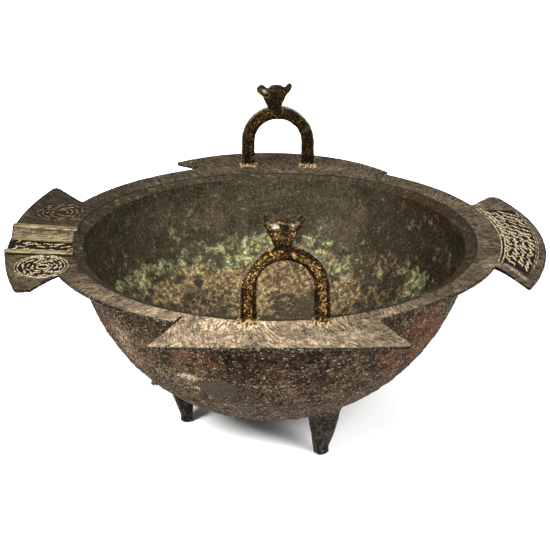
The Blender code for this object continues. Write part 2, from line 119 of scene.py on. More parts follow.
# form: hills on the arch's outer side; beside: the head's shift along X; ears: their lift; dips: places
# across the head's top and depths; dull: least share of dark; cups: hollows across and up, half sizes, and
# the strength of the highlight painted in them; grooves: ends, across and up from the middle of the foot line
FRONT_HANDLE = {
    "place": (11.1, -MOUTH_R - 4.2), "outward": -1, "crown": 65.6, "form": ((1.8, 90, 14), (-3.4, 144, 22)),
    "beside": -2.4, "ears": (0, 0.4), "dips": ((-0.34, 3.2), (0.33, 3)), "dull": 0,
    "cups": ((-0.31, 0.78, 0.17, 0.12, 0.7), (-0.24, 0.66, 0.14, 0.07, 1), (0.31, 0.75, 0.14, 0.14, 0.68)),
    "grooves": (((-1.2, 80), (8.2, 66.4)), ((0.4, 80.2), (21.5, 71.4))), "seed": 11}
BACK_HANDLE = {
    "place": (5, MOUTH_R + 17.6), "outward": 1, "crown": 60.7, "form": ((-0.9, 40, 28),),
    "beside": -4.3, "ears": (-5, -1.4), "dips": ((-0.27, 4), (0.4, 2.6)), "dull": 0.5,
    "cups": ((-0.4, 0.68, 0.2, 0.13, 0.5), (0.3, 0.68, 0.1, 0.1, 0.1)), "grooves": (), "seed": 21}

# feet
FOOT_RING = 100.5
FOOT_BEARINGS = {"foot_left": -175.9, "foot_front": -59, "foot_back": 62.8}
FOOT_RADIAL = 7
FOOT_ALONG = 8.4
FOOT_SIDES = 84
FOOT_ROWS = 150
# shares: of the height, of FOOT_RADIAL for the shift outwards, and of the two half sizes
FOOT_FORM = ((0, 0, 0.66, 0.64), (0.05, 0, 1, 0.98), (0.15, -0.04, 1, 1.04), (0.26, 0.04, 1.09, 1.15),
             (0.48, 0.26, 1.44, 1.4), (0.74, 0.49, 1.8, 1.68), (1, 0.71, 2.06, 1.9), (1.5, 1, 2.43, 2.26))

# fineness of the bowl's grid
SIDE_STEPS = 14
ARC_STEPS = 76
SPOUT_STEPS = (34, 28)   # on the spout's arc, before and after the trough
RIM_STEP = 0.8           # degrees between two columns on the plain rim
FLANGE_ROWS = 40
INNER_ROWS = 64
OUTER_ROWS = 120
PROFILE_STEPS = 400

# crack at the left notch of the near flange
CRACK_WIDE = 1.1
CRACK_DEEP = 2.6
CRACK_LONG = 30

# sunk fields, as in the solids; the ornament on them stands nearly level with the rim
ROUNDEL_X = 4.2 - RIM_R
NEAR_ROUNDEL = (ROUNDEL_X, -83.9, 28, 32.6)     # middle, and half sizes along X and Y
FAR_ROUNDEL = (ROUNDEL_X, 80.2, 28, 27.5)
PANEL_IN = 0.5
PANEL_OUT = 36
PANEL_INNER = (-15.5, 20)
PANEL_OUTER = (-22.5, 17.5)
FIELD_DEEP = 0.6

# patches of patina, and on the outside painted shade under the flanges: bearing, height from the rim plane,
# half sizes in degrees and millimetres, strength
INSIDE_PATINA = {
    "green": (
        (158.9, -85.4, 7.8, 8.55, 0.9), (147.9, -90.6, 5.85, 14.85, 1), (139.5, -88.5, 5.4, 10.05, 0.75),
        (154.6, -102.9, 6.45, 6, 0.6), (122.7, -46.9, 6.15, 13.5, 0.45), (126.5, -62.8, 5.85, 19.5, 0.4),
        (120, -77, 5.25, 9.45, 0.65), (110, -81.7, 7.5, 7.95, 0.95), (124.2, -90, 8.55, 13.65, 0.65),
        (120.2, -105, 4.35, 7.5, 0.75), (106.2, -97.9, 8.85, 10.95, 1), (99, -82.4, 6.75, 16.2, 1),
        (92.2, -77.7, 5.55, 14.7, 0.85), (77, -77.2, 5.55, 11.4, 0.85), (71.2, -79.7, 5.1, 28.8, 0.65),
        (63.8, -93, 5.4, 16.95, 0.8), (57.2, -101.2, 4.5, 8.7, 0.65), (48.4, -101.9, 8.1, 7.05, 0.65),
        (58, -73.5, 4.8, 9.6, 0.45), (28.3, -78.5, 9.3, 13.35, 0.65), (23.8, -94.2, 10.05, 13.05, 0.75),
        (80, -89.8, 6.9, 12.75, 0.6), (112, -90, 45, 13.5, 0.5), (66, -94, 27, 15, 0.5)),
    "ochre": (
        (139.7, -113.5, 10.5, 13, 0.8), (112, -114.8, 12, 13, 1), (86.2, -114.2, 15, 23.8, 1),
        (57.4, -123.9, 9, 18.1, 0.85), (34.6, -113.6, 4.6, 4.9, 0.4), (125.1, -104.6, 9, 11.7, 0.7),
        (101.4, -137.5, 16, 14.6, 0.8), (71.7, -98.2, 6, 14.3, 0.65), (154, -104, 8, 8, 0.5)),
    "blot": (
        (123.1, -134, 14.3, 9.7, 0.9), (86.6, -140.8, 9.7, 14.4, 0.65), (42.8, -119, 5.9, 11.1, 1),
        (31, -102.7, 3.1, 8.3, 1), (44.8, -83, 7.5, 13.7, 0.7), (99.6, -122.7, 3.5, 7.8, 0.4),
        (61, -26, 5, 10, 0.4)),
    "haze": ((114, -40.2, 16.3, 18.6, 1), (65, -43.2, 8.7, 32.1, 0.9), (94.7, -25.7, 20.4, 14.5, 0.6)),
    "rust": ((32, -7, 13, 8, 1), (20, -14, 7, 9, 0.8))}
OUTSIDE_PATINA = {
    "smooth": (
        (-107, -102, 9, 12, 1), (-51.4, -113.5, 7, 7, 0.9), (-40.5, -118.8, 5, 5, 0.7),
        (-132.2, -47.2, 4, 9, 0.55), (-101, -120, 8, 4, 0.6), (-81, -128, 16, 7, 0.5),
        (-146, -46, 5, 8, 0.5), (60, -90, 9, 10, 0.9), (150, -70, 7, 9, 0.8)),
    "red": (
        (-144.8, -69.3, 14, 40, 0.55), (-40, -65, 14, 40, 1), (-50.7, -68.2, 8, 12, 0.8),
        (-92.7, -69.4, 20, 12, 0.35), (-115.3, -60, 10, 16, 0.6), (70, -60, 40, 40, 0.5)),
    "pale": (
        (-118, -90, 5, 6, 1), (-115.5, -103, 4, 6, 0.8), (-125, -100, 12, 16, 0.35),
        (-90, -95, 10, 16, 0.3), (-142, -70, 6, 40, 0.6), (100, -90, 14, 20, 0.5)),
    # painted shade on the skin under the flanges
    "shade_under_flanges": (
        (-101.1, -54.7, 8, 16, 0.9), (-80, -45, 40, 12, 0.6), (-66, -80, 22, 34, 0.45),
        (20, -60, 30, 30, 0.4))}
# tones at some bearings, in rising order, with painted light in them: the inner wall and the bevel are paler
# on the far side, as lit, and darkest at the right, as shaded; the rim is paler on the near flange, as lit
INSIDE_TONES_AND_LIGHT = ((-180, 0.4), (-90, 0.4), (0, 0), (25, 0.05), (50, 0.4), (75, 0.65), (110, 0.6), (140, 0.45),
                (165, 0.3))
BEVEL_TONES_AND_LIGHT = ((-180, 0.2), (-90, 0.5), (0, 0.1), (25, 0.15), (90, 0.6), (150, 0.25))
RIM_TONES_AND_LIGHT = ((-180, 0.11), (-152, 0.14), (-140, 0.24), (-125, 0.4), (-112, 0.6), (-98, 0.74), (-78, 0.55),
             (-62, 0.33), (-45, 0.14), (-22, 0.1), (0, 0.13), (25, 0.15), (45, 0.12), (90, 0.08), (130, 0.1),
             (148, 0.03), (160, 0.02))
# paler places on the rim: middle and half sizes on the plan, amount
RIM_PATCHES = ((-25.2, -233, 16, 14, 0.3), (47.4, -233, 16, 14, 0.35), (5, 226, 62, 9, 0.08),
               (-20, -232, 40, 20, 0.12), (232, -100, 20, 30, 0.12))
# small beads that the casting left: bearing, height, distance of their middles from the skin, radius
BEADS = ((-147.6, -137.5, 1.6, 2.6), (-141.5, -131, 0.6, 1.9))
BEAD_SEED = 7            # for the dents in their skin, which would differ in each run without it

LIGHT = 2.7              # how strong the light is, so that colours can be given as they show
# suns: name, bearing, elevation, strength and width of the source in degrees
SUNS = (("front_left", -129, 42, 7.1, 20), ("front_right", -42, 38, 4.7, 30))
TOP_LIGHT = {"place": (0.5, 0.9, 2.2), "target": (0, 0, 0.2), "size": 1.6, "power": 30}    # metres and watts
WORLD_LIGHT = 0.26
PAPER = (0.93, 0.93, 0.93, 1)
PAPER_ROUGH = 0.9
FLOOR_HALF = 12          # metres

CAMERA = (0, -1809.17, 928.09)         # from the middle of the rim plane, and up from the floor
CAMERA_DOWN = 22.5505
CAMERA_YAW = -0.0354
CAMERA_ROLL = -0.0471
LENS = 115.347
SENSOR = 36
FAR_CLIP = 50


def turn_from(centre, angle):
    """Signed turn from one bearing to others, -180 to 180."""
    return (np.asarray(angle, float) - centre + 180) % 360 - 180


def swell(angle, form):
    """Smooth hill round a bearing: form holds its amount, its bearing and its width."""
    amount, centre, width = form
    return amount * np.exp(-(turn_from(centre, angle) / width) ** 2)


def polar(radius, angle):
    a = math.radians(angle)
    return (radius * math.cos(a), radius * math.sin(a))


def bearing(point):
    return math.degrees(math.atan2(point[1], point[0]))


def straight(p, q, count):
    return [(p[0] + (q[0] - p[0]) * i / count, p[1] + (q[1] - p[1]) * i / count) for i in range(count + 1)]


def circle_through(p, q, rise):
    """Centre and radius of the arc that bulges to the right of p to q by rise."""
    start = Vector(p)
    chord = Vector(q) - start
    half = chord.length / 2
    right = Vector((chord.y, -chord.x)).normalized()
    radius = (half * half + rise * rise) / (2 * rise)
    return start + chord / 2 + right * (rise - radius), radius


def arc(p, q, rise, count):
    centre, radius = circle_through(p, q, rise)
    first = bearing(Vector(p) - centre)
    sweep = (bearing(Vector(q) - centre) - first) % 360
    points = [polar(radius, first + sweep * i / count) for i in range(count + 1)]
    return [(centre.x + x, centre.y + y) for x, y in points]


def unit(rows):
    """Rows of an array, each scaled to length 1."""
    return rows / np.linalg.norm(rows, axis=1)[:, None]


def run_lengths(points):
    run = [0.0]
    for a, b in zip(points, points[1:]):
        run.append(run[-1] + math.dist(a, b))
    return run


def share_out(path, low, sweep):
    """A bearing for each point of a path, from low over sweep, in step with the path's run."""
    run = run_lengths(path)
    return [low + sweep * length / run[-1] for length in run]


def flange_points(flange):
    """Notches and corners of a flange as points."""
    return [[polar(RIM_R + reach, at) for reach, at in group] for group in flange[:2]]


def plain_flange(flange):
    """Outline from notch to notch, and the bearing of each column on the rings inside it."""
    (start, end), corners = flange_points(flange)
    first, last, rise = flange[2:]
    path = straight(start, corners[0], SIDE_STEPS)[:-1] + corners[:first]
    path += arc(corners[first], corners[last], rise, ARC_STEPS)
    path += corners[last + 1:] + straight(corners[-1], end, SIDE_STEPS)[1:]
    return path, share_out(path, bearing(start), (bearing(end) - bearing(start)) % 360)


def trough_ends():
    centre, radius = circle_through(*flange_points(SPOUT)[1][2:4], SPOUT[4])
    return centre.x - radius - TROUGH_PROUD, TROUGH_IN - MOUTH_R


TROUGH_OUTER, TROUGH_INNER = trough_ends()


def channel_y(x, share, more):
    """y at x of a line along the trough: share 0 is the near side, 1 the far one, and more is added."""
    along = (x - TROUGH_OUTER) / (TROUGH_INNER - TROUGH_OUTER)
    near, far = [side[0] + (side[1] - side[0]) * along for side in (TROUGH_NEAR, TROUGH_FAR)]
    return near + (far - near) * share + more


def trough_section():
    """Lines along the trough from its far ridge to its near one: share, more, top, underside."""
    crown = ((0, 0), (0.03, 0.5), (0.08, 1.25), (0.14, 1.8), (0.22, 2.1), (0.4, 2.2), (0.6, 2.2),
             (0.76, 2.15), (0.86, 1.95), (0.93, 1.5), (0.975, 0.8), (1, -0.1))
    slope = ((0.12, -1), (0.3, -2.5), (0.5, -4.1), (0.7, -5.7), (0.88, -7.2), (0.97, -7.8), (1.06, -8))
    floor = [1 - i / TROUGH_STEPS for i in range(1, TROUGH_STEPS)]
    lines = [(1, RIDGE_FAR_W * (1 - across), up) for across, up in crown]
    lines += [(1, -TROUGH_SLOPE * across, up) for across, up in slope]
    lines += [(share, 1.06 * TROUGH_SLOPE * (1 - 2 * share), -TROUGH_FLOOR) for share in floor]
    lines += [(0, TROUGH_SLOPE * across, up) for across, up in slope[::-1]]
    lines += [(0, -RIDGE_NEAR_W * (1 - across), up) for across, up in crown[::-1]]
    section = []
    for share, more, up in lines:
        inward = min(share * TROUGH_WIDE + more, (1 - share) * TROUGH_WIDE - more)
        down = min(max((inward + PLATE) / TROUGH_SLOPE, 0), 1)
        section.append((share, more, up, -PLATE - TROUGH_FLOOR * down))
    return section


def line_bearing(share, more, radius):
    """Bearing at which a line along the trough crosses a circle round the bowl."""
    x = -radius
    for _ in range(6):
        y = channel_y(x, share, more)
        x = -math.sqrt(radius * radius - y * y)
    return bearing((x, y)) % 360


def spout_flange():
    """As plain_flange, with a column on each line of the trough; gives bearings on two rings."""
    (start, end), corners = flange_points(SPOUT)
    centre, radius = circle_through(corners[2], corners[3], SPOUT[4])

    def on_arc(y):
        return (centre.x - math.sqrt(radius ** 2 - (y - centre.y) ** 2), y)

    def spread(y0, y1, count):
        return [on_arc(y0 + (y1 - y0) * i / count) for i in range(1, count)]
    section = trough_section()
    across = [channel_y(TROUGH_OUTER, share, more) for share, more, _, _ in section]
    before = straight(start, corners[0], SIDE_STEPS)[:-1] + corners[:3]
    before += spread(corners[2][1], across[0], SPOUT_STEPS[0])
    after = spread(across[-1], corners[3][1], SPOUT_STEPS[1]) + corners[3:]
    after += straight(corners[-1], end, SIDE_STEPS)[1:]
    path = before + [(on_arc(y)[0] - TROUGH_PROUD, y) for y in across] + after
    low = bearing(start)
    high = bearing(end) % 360
    rings = []
    for ring in (BASE_R, THROAT_R):
        middle = [line_bearing(share, more, ring) for share, more, _, _ in section]
        head = share_out(before + [on_arc(across[0])], low, middle[0] - low)[:-1]
        tail = share_out([on_arc(across[-1])] + after, middle[-1], high - middle[-1])[1:]
        rings.append(head + middle + tail)
    return path, rings, section, len(before)


class Columns:
    """Plan of the bowl's grid: one column for each point of the outline."""

    def __init__(self):
        spout, spout_rings, section, offset = spout_flange()
        fan, back, near = [(path, at, at) for path, at in map(plain_flange, (FAN, BACK, FRONT))]
        parts = (fan, back, (spout, *spout_rings), near)
        points, base, throat = [], [], []
        for part, following in zip(parts, parts[1:] + parts[:1]):
            path, at, _ = part
            if path is spout:
                self.first = len(points) + offset
            if part is near:
                # a column close to each side of the crack
                self.crack = len(points) + 1
                notch = Vector(path[0])
                aside = math.degrees(CRACK_WIDE / notch.length)
                path[:1] = [polar(notch.length, at[0] - aside), path[0],
                            tuple(notch + (Vector(path[1]) - notch).normalized() * CRACK_WIDE)]
                at[:1] = [at[0] - aside, at[0], at[0] + aside]
            for values, more in zip((points, base, throat), part):
                values += more
            end = base[-1]
            gap = (bearing(following[0][0]) - end) % 360
            steps = max(2, round(gap / RIM_STEP))
            plain = [end + gap * i / steps for i in range(1, steps)]
            points += [polar(RIM_R + float(swell(turn, RIM_DIP)), turn) for turn in plain]
            base += plain
            throat += plain
        self.points = np.array(points)
        self.base, self.throat = [np.unwrap(np.array(values), period=360) for values in (base, throat)]
        self.count = len(points)
        self.section = section
        self.top = np.zeros(self.count)
        self.under = np.full(self.count, -PLATE)
        self.ridge_end = np.full(self.count, MOUTH_R)
        for i, (share, more, up, down) in enumerate(section, self.first):
            self.top[i] = up
            self.under[i] = down
            end = -MOUTH_R - (RIDGE_FAR_END if share == 1 else RIDGE_NEAR_END)
            self.ridge_end[i] = math.hypot(end, channel_y(end, share, more))
        self.ridge = np.clip(self.top / RIDGE_UP, 0, 1)
        self.channel = np.clip(-self.top / TROUGH_FLOOR, 0, 1)
        plan = np.column_stack([self.points, np.zeros(self.count)])
        nicks = np.maximum(rough(plan, 5, 41, 2) - 0.35, 0)
        self.worn_edge = 0.05 + 0.2 * (0.5 + 0.5 * rough(plan, 14, 40, 2)) + 1.4 * nicks

    def inset(self, distance):
        """The worn outline moved inwards; a sharp corner moves little further."""
        before = unit(self.points - np.roll(self.points, 1, axis=0))
        after = unit(np.roll(self.points, -1, axis=0) - self.points)
        inward = unit(np.stack([-before[:, 1] - after[:, 1], before[:, 0] + after[:, 0]], 1))
        share = inward[:, 1] * before[:, 0] - inward[:, 0] * before[:, 1]
        reach = (distance + self.worn_edge) * np.minimum(1.3, 1 / np.maximum(share, 0.2))
        return self.points + inward * reach[:, None]

    def ring(self, radius, height, share=0):
        """Ring of points; share 0 takes the bearings at the throat and 1 those at the flanges' base."""
        a = np.radians(self.throat + (self.base - self.throat) * share)
        height = np.broadcast_to(np.asarray(height, float), (self.count,))
        drift = LEAN * np.minimum(height + THROAT_DROP, 0)
        return np.stack([radius * np.cos(a) + drift, radius * np.sin(a), height], 1)


def skin_point(t):
    """Radius and height on the outer skin, t from 0 at the rim plane to 1 at the lowest point."""
    a = t * math.pi / 2
    return (WALL_R * max(math.cos(a), 0) ** (2 / WALL_P), -BOWL_DEPTH * math.sin(a) ** (2 / WALL_M))


def wall_point(t, outside):
    """Radius and height beside the outer skin; outside may be an array."""
    r, z = skin_point(t)
    above = skin_point(max(t - 0.01, 0))
    below = skin_point(min(t + 0.01, 1))
    slope = Vector((below[0] - above[0], below[1] - above[1])).normalized()
    return (r - slope.y * outside, z + slope.x * outside)


def even_steps(first, last, count):
    """Values of t that are spread evenly along the skin's profile."""
    fine = np.linspace(first, last, PROFILE_STEPS)
    run = run_lengths([skin_point(t) for t in fine])
    return np.interp(np.linspace(0, run[-1], count), run, fine)


def skin_height(radius):
    """Height of the outer skin, from the rim plane, at distances from the bowl's axis."""
    places = np.array([skin_point(t) for t in np.linspace(1, 0, PROFILE_STEPS)])
    return np.interp(radius, places[:, 0], places[:, 1])


def rough(points, size, seed=0, octaves=3):
    """Fractal noise, about -1 to 1, with bumps of a size in millimetres."""
    shift = Vector((seed * 17.3, seed * 5.1, seed * 9.7))
    values = [noise.fractal(Vector(p) / size + shift, 1.0, 2.0, octaves, noise_basis="PERLIN_ORIGINAL")
              for p in points]
    return np.array(values)


def smooth_step(low, high, x):
    t = np.clip((np.asarray(x, float) - low) / (high - low), 0, 1)
    return t * t * (3 - 2 * t)


columns = Columns()
# the frame's origin is the middle of the solids' box, which the flanges and the trough's outer end set
MIDDLE = (columns.points.min(axis=0) + columns.points.max(axis=0)) / 2
ORIGIN = np.array([*MIDDLE, -RIM_Z])


def to_frame(places):
    """A place, or an array of them, in metres of the frame."""
    return (np.asarray(places, float) - ORIGIN) * MM


def link_object(name, data):
    ob = bpy.data.objects.new(name, data)
    bpy.context.scene.collection.objects.link(ob)
    return ob


def to_mesh(name, bm):
    """Mesh of a bmesh, with its faces turned outwards."""
    bmesh.ops.recalc_face_normals(bm, faces=bm.faces)
    mesh = bpy.data.meshes.new(name)
    bm.to_mesh(mesh)
    bm.free()
    return mesh


def add_object(name, shape, material, sharp=35):
    """Object of a mesh or a bmesh, shaded smooth but for edges over `sharp` degrees."""
    mesh = to_mesh(name, shape) if isinstance(shape, bmesh.types.BMesh) else shape
    mesh.name = name
    mesh.shade_smooth()
    mesh.set_sharp_from_angle(angle=math.radians(sharp))
    mesh.materials.append(material)
    return link_object(name, mesh)


def add_skin(bm, rings, ends="open"):
    """Vertices at rings of points, with faces between the rings; ends are open, capped or looped."""
    grid = [[bm.verts.new(p) for p in to_frame(ring).tolist()] for ring in rings]
    for low, high in zip(grid, grid[1:] + (grid[:1] if ends == "looped" else [])):
        for i in range(len(low)):
            bm.faces.new((low[i - 1], low[i], high[i], high[i - 1]))
    if ends == "capped":
        bm.faces.new(grid[0][::-1])
        bm.faces.new(grid[-1])
    return grid


def add_ball(bm, place, radius, subdivisions):
    matrix = Matrix.Translation(Vector(to_frame(place)))
    bmesh.ops.create_icosphere(bm, subdivisions=subdivisions, radius=radius * MM, matrix=matrix)


def set_paint(mesh, key, values):
    """Number at each vertex that a material reads by name."""
    layer = mesh.attributes.new(key, "FLOAT", "POINT")
    layer.data.foreach_set("value", np.asarray(values, np.float32))


def finish_piece(piece, slot, *nodes):
    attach(piece, "root")
    if nodes:
        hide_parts(*nodes)


def angle_of(places):
    return np.degrees(np.arctan2(places[:, 1], places[:, 0]))


def around_tone(tones):
    """Paint that goes smoothly between values given for some bearings."""
    at, tone = zip(*tones)
    return lambda places: np.interp(angle_of(places), at, tone, period=360)


def spots(angle, height, patches):
    """Strongest of several soft oval patches: bearing, height, their half sizes and a strength."""
    strongest = np.zeros(len(angle))
    for at, up, half_at, half_up, strength in patches:
        far = np.hypot(turn_from(at, angle) / half_at, (height - up) / half_up)
        strongest = np.maximum(strongest, strength * smooth_step(1.5, 0.3, far))
    return strongest


def patina(patches, mirrored=0):
    """Paint of soft patches, which stand on the other side of the X axis too, mirrored times as strong."""
    patches += tuple((-at, up, a, b, power * mirrored) for at, up, a, b, power in patches)
    return lambda places: spots(angle_of(places), places[:, 2], patches)


def panel_ends(share):
    """Bearings at which the fan's panel starts and ends: share 0 is its inner side and 1 the outer."""
    return [inner + (outer - inner) * share for inner, outer in zip(PANEL_INNER, PANEL_OUTER)]


def sunk_fields(x, y):
    """Share of the full depth, 0 to 1, to which the plate is sunk at places on the plan."""
    deep = np.zeros(len(x))
    for (cx, cy, half_x, half_y), strength in ((NEAR_ROUNDEL, 1), (FAR_ROUNDEL, 0.7)):
        away = np.hypot((x - cx) / half_x, (y - cy) / half_y)
        deep = np.maximum(deep, strength * smooth_step(1.03, 0.95, away))
    out = np.hypot(x, y) - RIM_R
    at = np.degrees(np.arctan2(y, x))
    low, high = panel_ends(np.clip((out + PANEL_IN) / (PANEL_OUT + PANEL_IN), 0, 1))
    panel = smooth_step(-PANEL_IN - 0.6, -PANEL_IN + 0.6, out)
    panel *= smooth_step(PANEL_OUT + 0.8, PANEL_OUT - 0.8, out)
    panel *= smooth_step(low - 0.25, low + 0.25, at) * smooth_step(high + 0.25, high - 0.25, at)
    return np.maximum(deep, panel)


def crack_depth(row):
    """Share of the crack's depth on a ring of the grid."""
    away = math.dist(row[columns.crack][:2], columns.points[columns.crack])
    return float(smooth_step(CRACK_LONG, 0.7 * CRACK_LONG, away))


def inside_rows():
    """Rings from the floor up to just under the throat."""
    c = columns
    rows = []
    for t in even_steps(0.985, 0.04, INNER_ROWS):
        thick = WALL_TOP + (WALL_BOTTOM - WALL_TOP) * t
        probe = c.ring(*wall_point(t, -thick))
        lumps = 0.8 * rough(probe, 45, 1, 2) + 0.3 * rough(probe, 9, 2)
        r, z = wall_point(t, -thick + lumps * min(1, (1 - t) * 12))
        rows.append(c.ring(r, np.minimum(z, -THROAT_DROP - 0.4 - 4.6 * c.channel)))
    rows.append(c.ring(THROAT_R + 0.1, -THROAT_DROP - 0.6 - 4.6 * c.channel))
    return rows


def rim_rows():
    """Rings from the throat over the lip, the plate and its edge to the root under the plate.

    Gives the number of the plate's first ring and of the edge's outermost one too.
    """
    c = columns
    lip = MOUTH_R + swell(c.throat, LIP_FAR) + swell(c.throat, LIP_NEAR)
    floor = -TROUGH_FLOOR * c.channel
    on_ridge = c.ridge > 0.05
    in_channel = c.channel > 0
    rows = [c.ring(THROAT_R - 0.1, np.minimum(-THROAT_DROP - 1.2, floor - 1.2)),
            c.ring(THROAT_R, np.minimum(-THROAT_DROP, floor - 0.2 * c.channel))]
    for share in (0.35, 0.7):
        r = THROAT_R + (lip - LIP_SOFT - THROAT_R) * share
        r = np.where(on_ridge, np.minimum(r, c.ridge_end - 0.9 + 0.2 * share), r)
        z = -THROAT_DROP + (THROAT_DROP - LIP_SOFT_DROP) * share
        rows.append(c.ring(r, np.where(in_channel, np.minimum(z, floor), z), 0.25 * share))
    for inward, down, rise in ((LIP_SOFT, LIP_SOFT_DROP, 0.45), (0.5, 0.35, 0.85), (0, 0, 1)):
        r = np.where(on_ridge, c.ridge_end - inward * 0.5 + 0.5, lip - inward)
        z = np.where(c.ridge > 0, c.top * rise, -down)
        rows.append(c.ring(r, np.where(in_channel, floor, z), 0.4))
    start = np.where(on_ridge, c.ridge_end + 0.5, lip)
    plate = [c.ring(start + (BASE_R - start) * share, c.top, 0.4 + 0.6 * share)
             for share in (0.12, 0.3, 0.5, 0.75)]
    base = c.ring(BASE_R, c.top, 1)
    edge = c.inset(EDGE_SOFT)
    for i in range(FLANGE_ROWS + 1):
        share = i / FLANGE_ROWS
        plate.append(np.column_stack([base[:, :2] * (1 - share) + edge * share, c.top]))
    flat = 1 - np.clip(c.ridge + c.channel, 0, 1)
    for row in plate:
        wave = 0.3 * rough(row, 38, 5, 2) + 0.1 * rough(row, 7, 6, 2)
        row[:, 2] += (wave - 0.25) * flat - FIELD_DEEP * sunk_fields(row[:, 0], row[:, 1])
        row[c.crack, 2] -= CRACK_DEEP * crack_depth(row)
    plate_row = len(rows)
    rows += plate
    turns = [math.radians(a) for a in EDGE_TURNS]
    turns = [(EDGE_SOFT * (1 - math.sin(a)), EDGE_SOFT * (1 - math.cos(a))) for a in turns]
    rows += [np.column_stack([c.inset(back), c.top - off]) for back, off in turns]
    edge_row = len(rows) - 1
    rows += [np.column_stack([c.inset(back), c.under + off]) for back, off in turns[::-1] + [(EDGE_SOFT, 0)]]
    under = rows[-1]
    root = c.ring(BASE_R - 1.15 * FILLET_OUT, np.minimum(c.under, -PLATE - 0.13 * FILLET_DROP), 1)
    for i in range(1, 10):
        share = i / 9
        row = under * (1 - share) + root * share
        row[:, 2] += 0.35 * rough(row, 9, 7, 2) * math.sin(math.pi * share)
        rows.append(row)
    for r, z, drop, share in ((WALL_R + 1.9 * FILLET_OUT, c.under, 0.45, 0.6),
                              (WALL_R + FILLET_OUT, c.under, 1, 0.4),
                              (WALL_R + 0.3, c.under - 1, 2.6, 0.3)):
        rows.append(c.ring(r, np.minimum(z, -PLATE - drop * FILLET_DROP), share))
    return rows, plate_row, edge_row


def outside_rows():
    """Rings of the crusted outer skin, down to the lowest point."""
    c = columns
    rows = []
    for t in even_steps(0.055, 0.99, OUTER_ROWS):
        probe = c.ring(*wall_point(t, 0))
        calm = 1 - 0.8 * spots(c.base, probe[:, 2], OUTSIDE_PATINA["smooth"])
        crust = (0.8 * rough(probe, 10, 3, 3) + 0.6 * rough(probe, 4.5, 3.5, 2)) * calm
        crust += 0.5 * rough(probe, 50, 4, 2) + 0.2
        r, z = wall_point(t, crust * min(1, (t - 0.04) * 9) * min(1, (1 - t) * 8))
        rows.append(c.ring(r, np.minimum(z, c.under - 0.4)))
    return rows


def grid_object(name, rows, material, paints, tip=None):
    """Piece of the bowl through rings of points; tip holds a ring's index and the point that closes it."""
    bm = bmesh.new()
    grid = add_skin(bm, rows)
    places = np.concatenate(rows)
    if tip:
        ring = grid[tip[0]]
        end = bm.verts.new(to_frame(tip[1]))
        for i, vert in enumerate(ring):
            bm.faces.new((vert, ring[i - 1], end))
        places = np.vstack([places, tip[1]])
    ob = add_object(name, bm, material)
    for key, paint in paints.items():
        set_paint(ob.data, key, paint(places))
    return ob


def make_inside():
    drift = LEAN * (THROAT_DROP - BOWL_DEPTH)
    paints = {key: patina(patches, 0.75) for key, patches in INSIDE_PATINA.items()}
    paints["wall_tone"] = around_tone(INSIDE_TONES_AND_LIGHT)
    return grid_object("cauldron_inside", inside_rows(), inside_material(), paints,
                       (0, (drift, 0, WALL_BOTTOM - BOWL_DEPTH)))


def make_outside():
    drift = LEAN * (THROAT_DROP - BOWL_DEPTH)
    paints = {key: patina(patches) for key, patches in OUTSIDE_PATINA.items()}
    # painted light: the skin paler towards the bottom, as if lit from the floor
    paints["low"] = lambda places: smooth_step(-105, -150, places[:, 2])
    return grid_object("cauldron_outside", outside_rows(), outside_material(), paints,
                       (-1, (drift, 0, -BOWL_DEPTH)))


def trough_paint():
    """Dark ground with painted shade, and bright metal with painted highlights along the trough, 0 to 1, for
    each column of the grid.
    """
    ground_and_shade, metal_and_highlight = np.zeros((2, columns.count))
    for i, (share, more, up, _) in enumerate(columns.section, columns.first):
        far = share == 1
        near = share == 0
        # the ridges' tops, the far ridge's near edge and the ledge at the far slope's foot: worn metal with
        # painted highlights; the far slope takes some of the ridges' colour too
        for here, value in ((up > 1.4, 0.8 if near else 0.5), (far and 0.8 < up <= 2 and more < 3, 1),
                            (far and -4.5 < up < -0.5, 0.3), (far and -7.9 < up <= -4.5, 0.45),
                            (share > 0.85 and -8.1 < up <= -7.9, 0.8)):
            if here:
                metal_and_highlight[i] = value
        # painted shade: dark lines at the ridges' outer feet and at the near slope's foot; the floor is the
        # dark ground of the strokes
        outer_foot = -0.2 < up < 1.3 and ((near and more < -6) or (far and more > 8))
        if outer_foot or 0 < share < 0.85 or (near and up <= -7.9):
            ground_and_shade[i] = 1
    return ground_and_shade, metal_and_highlight


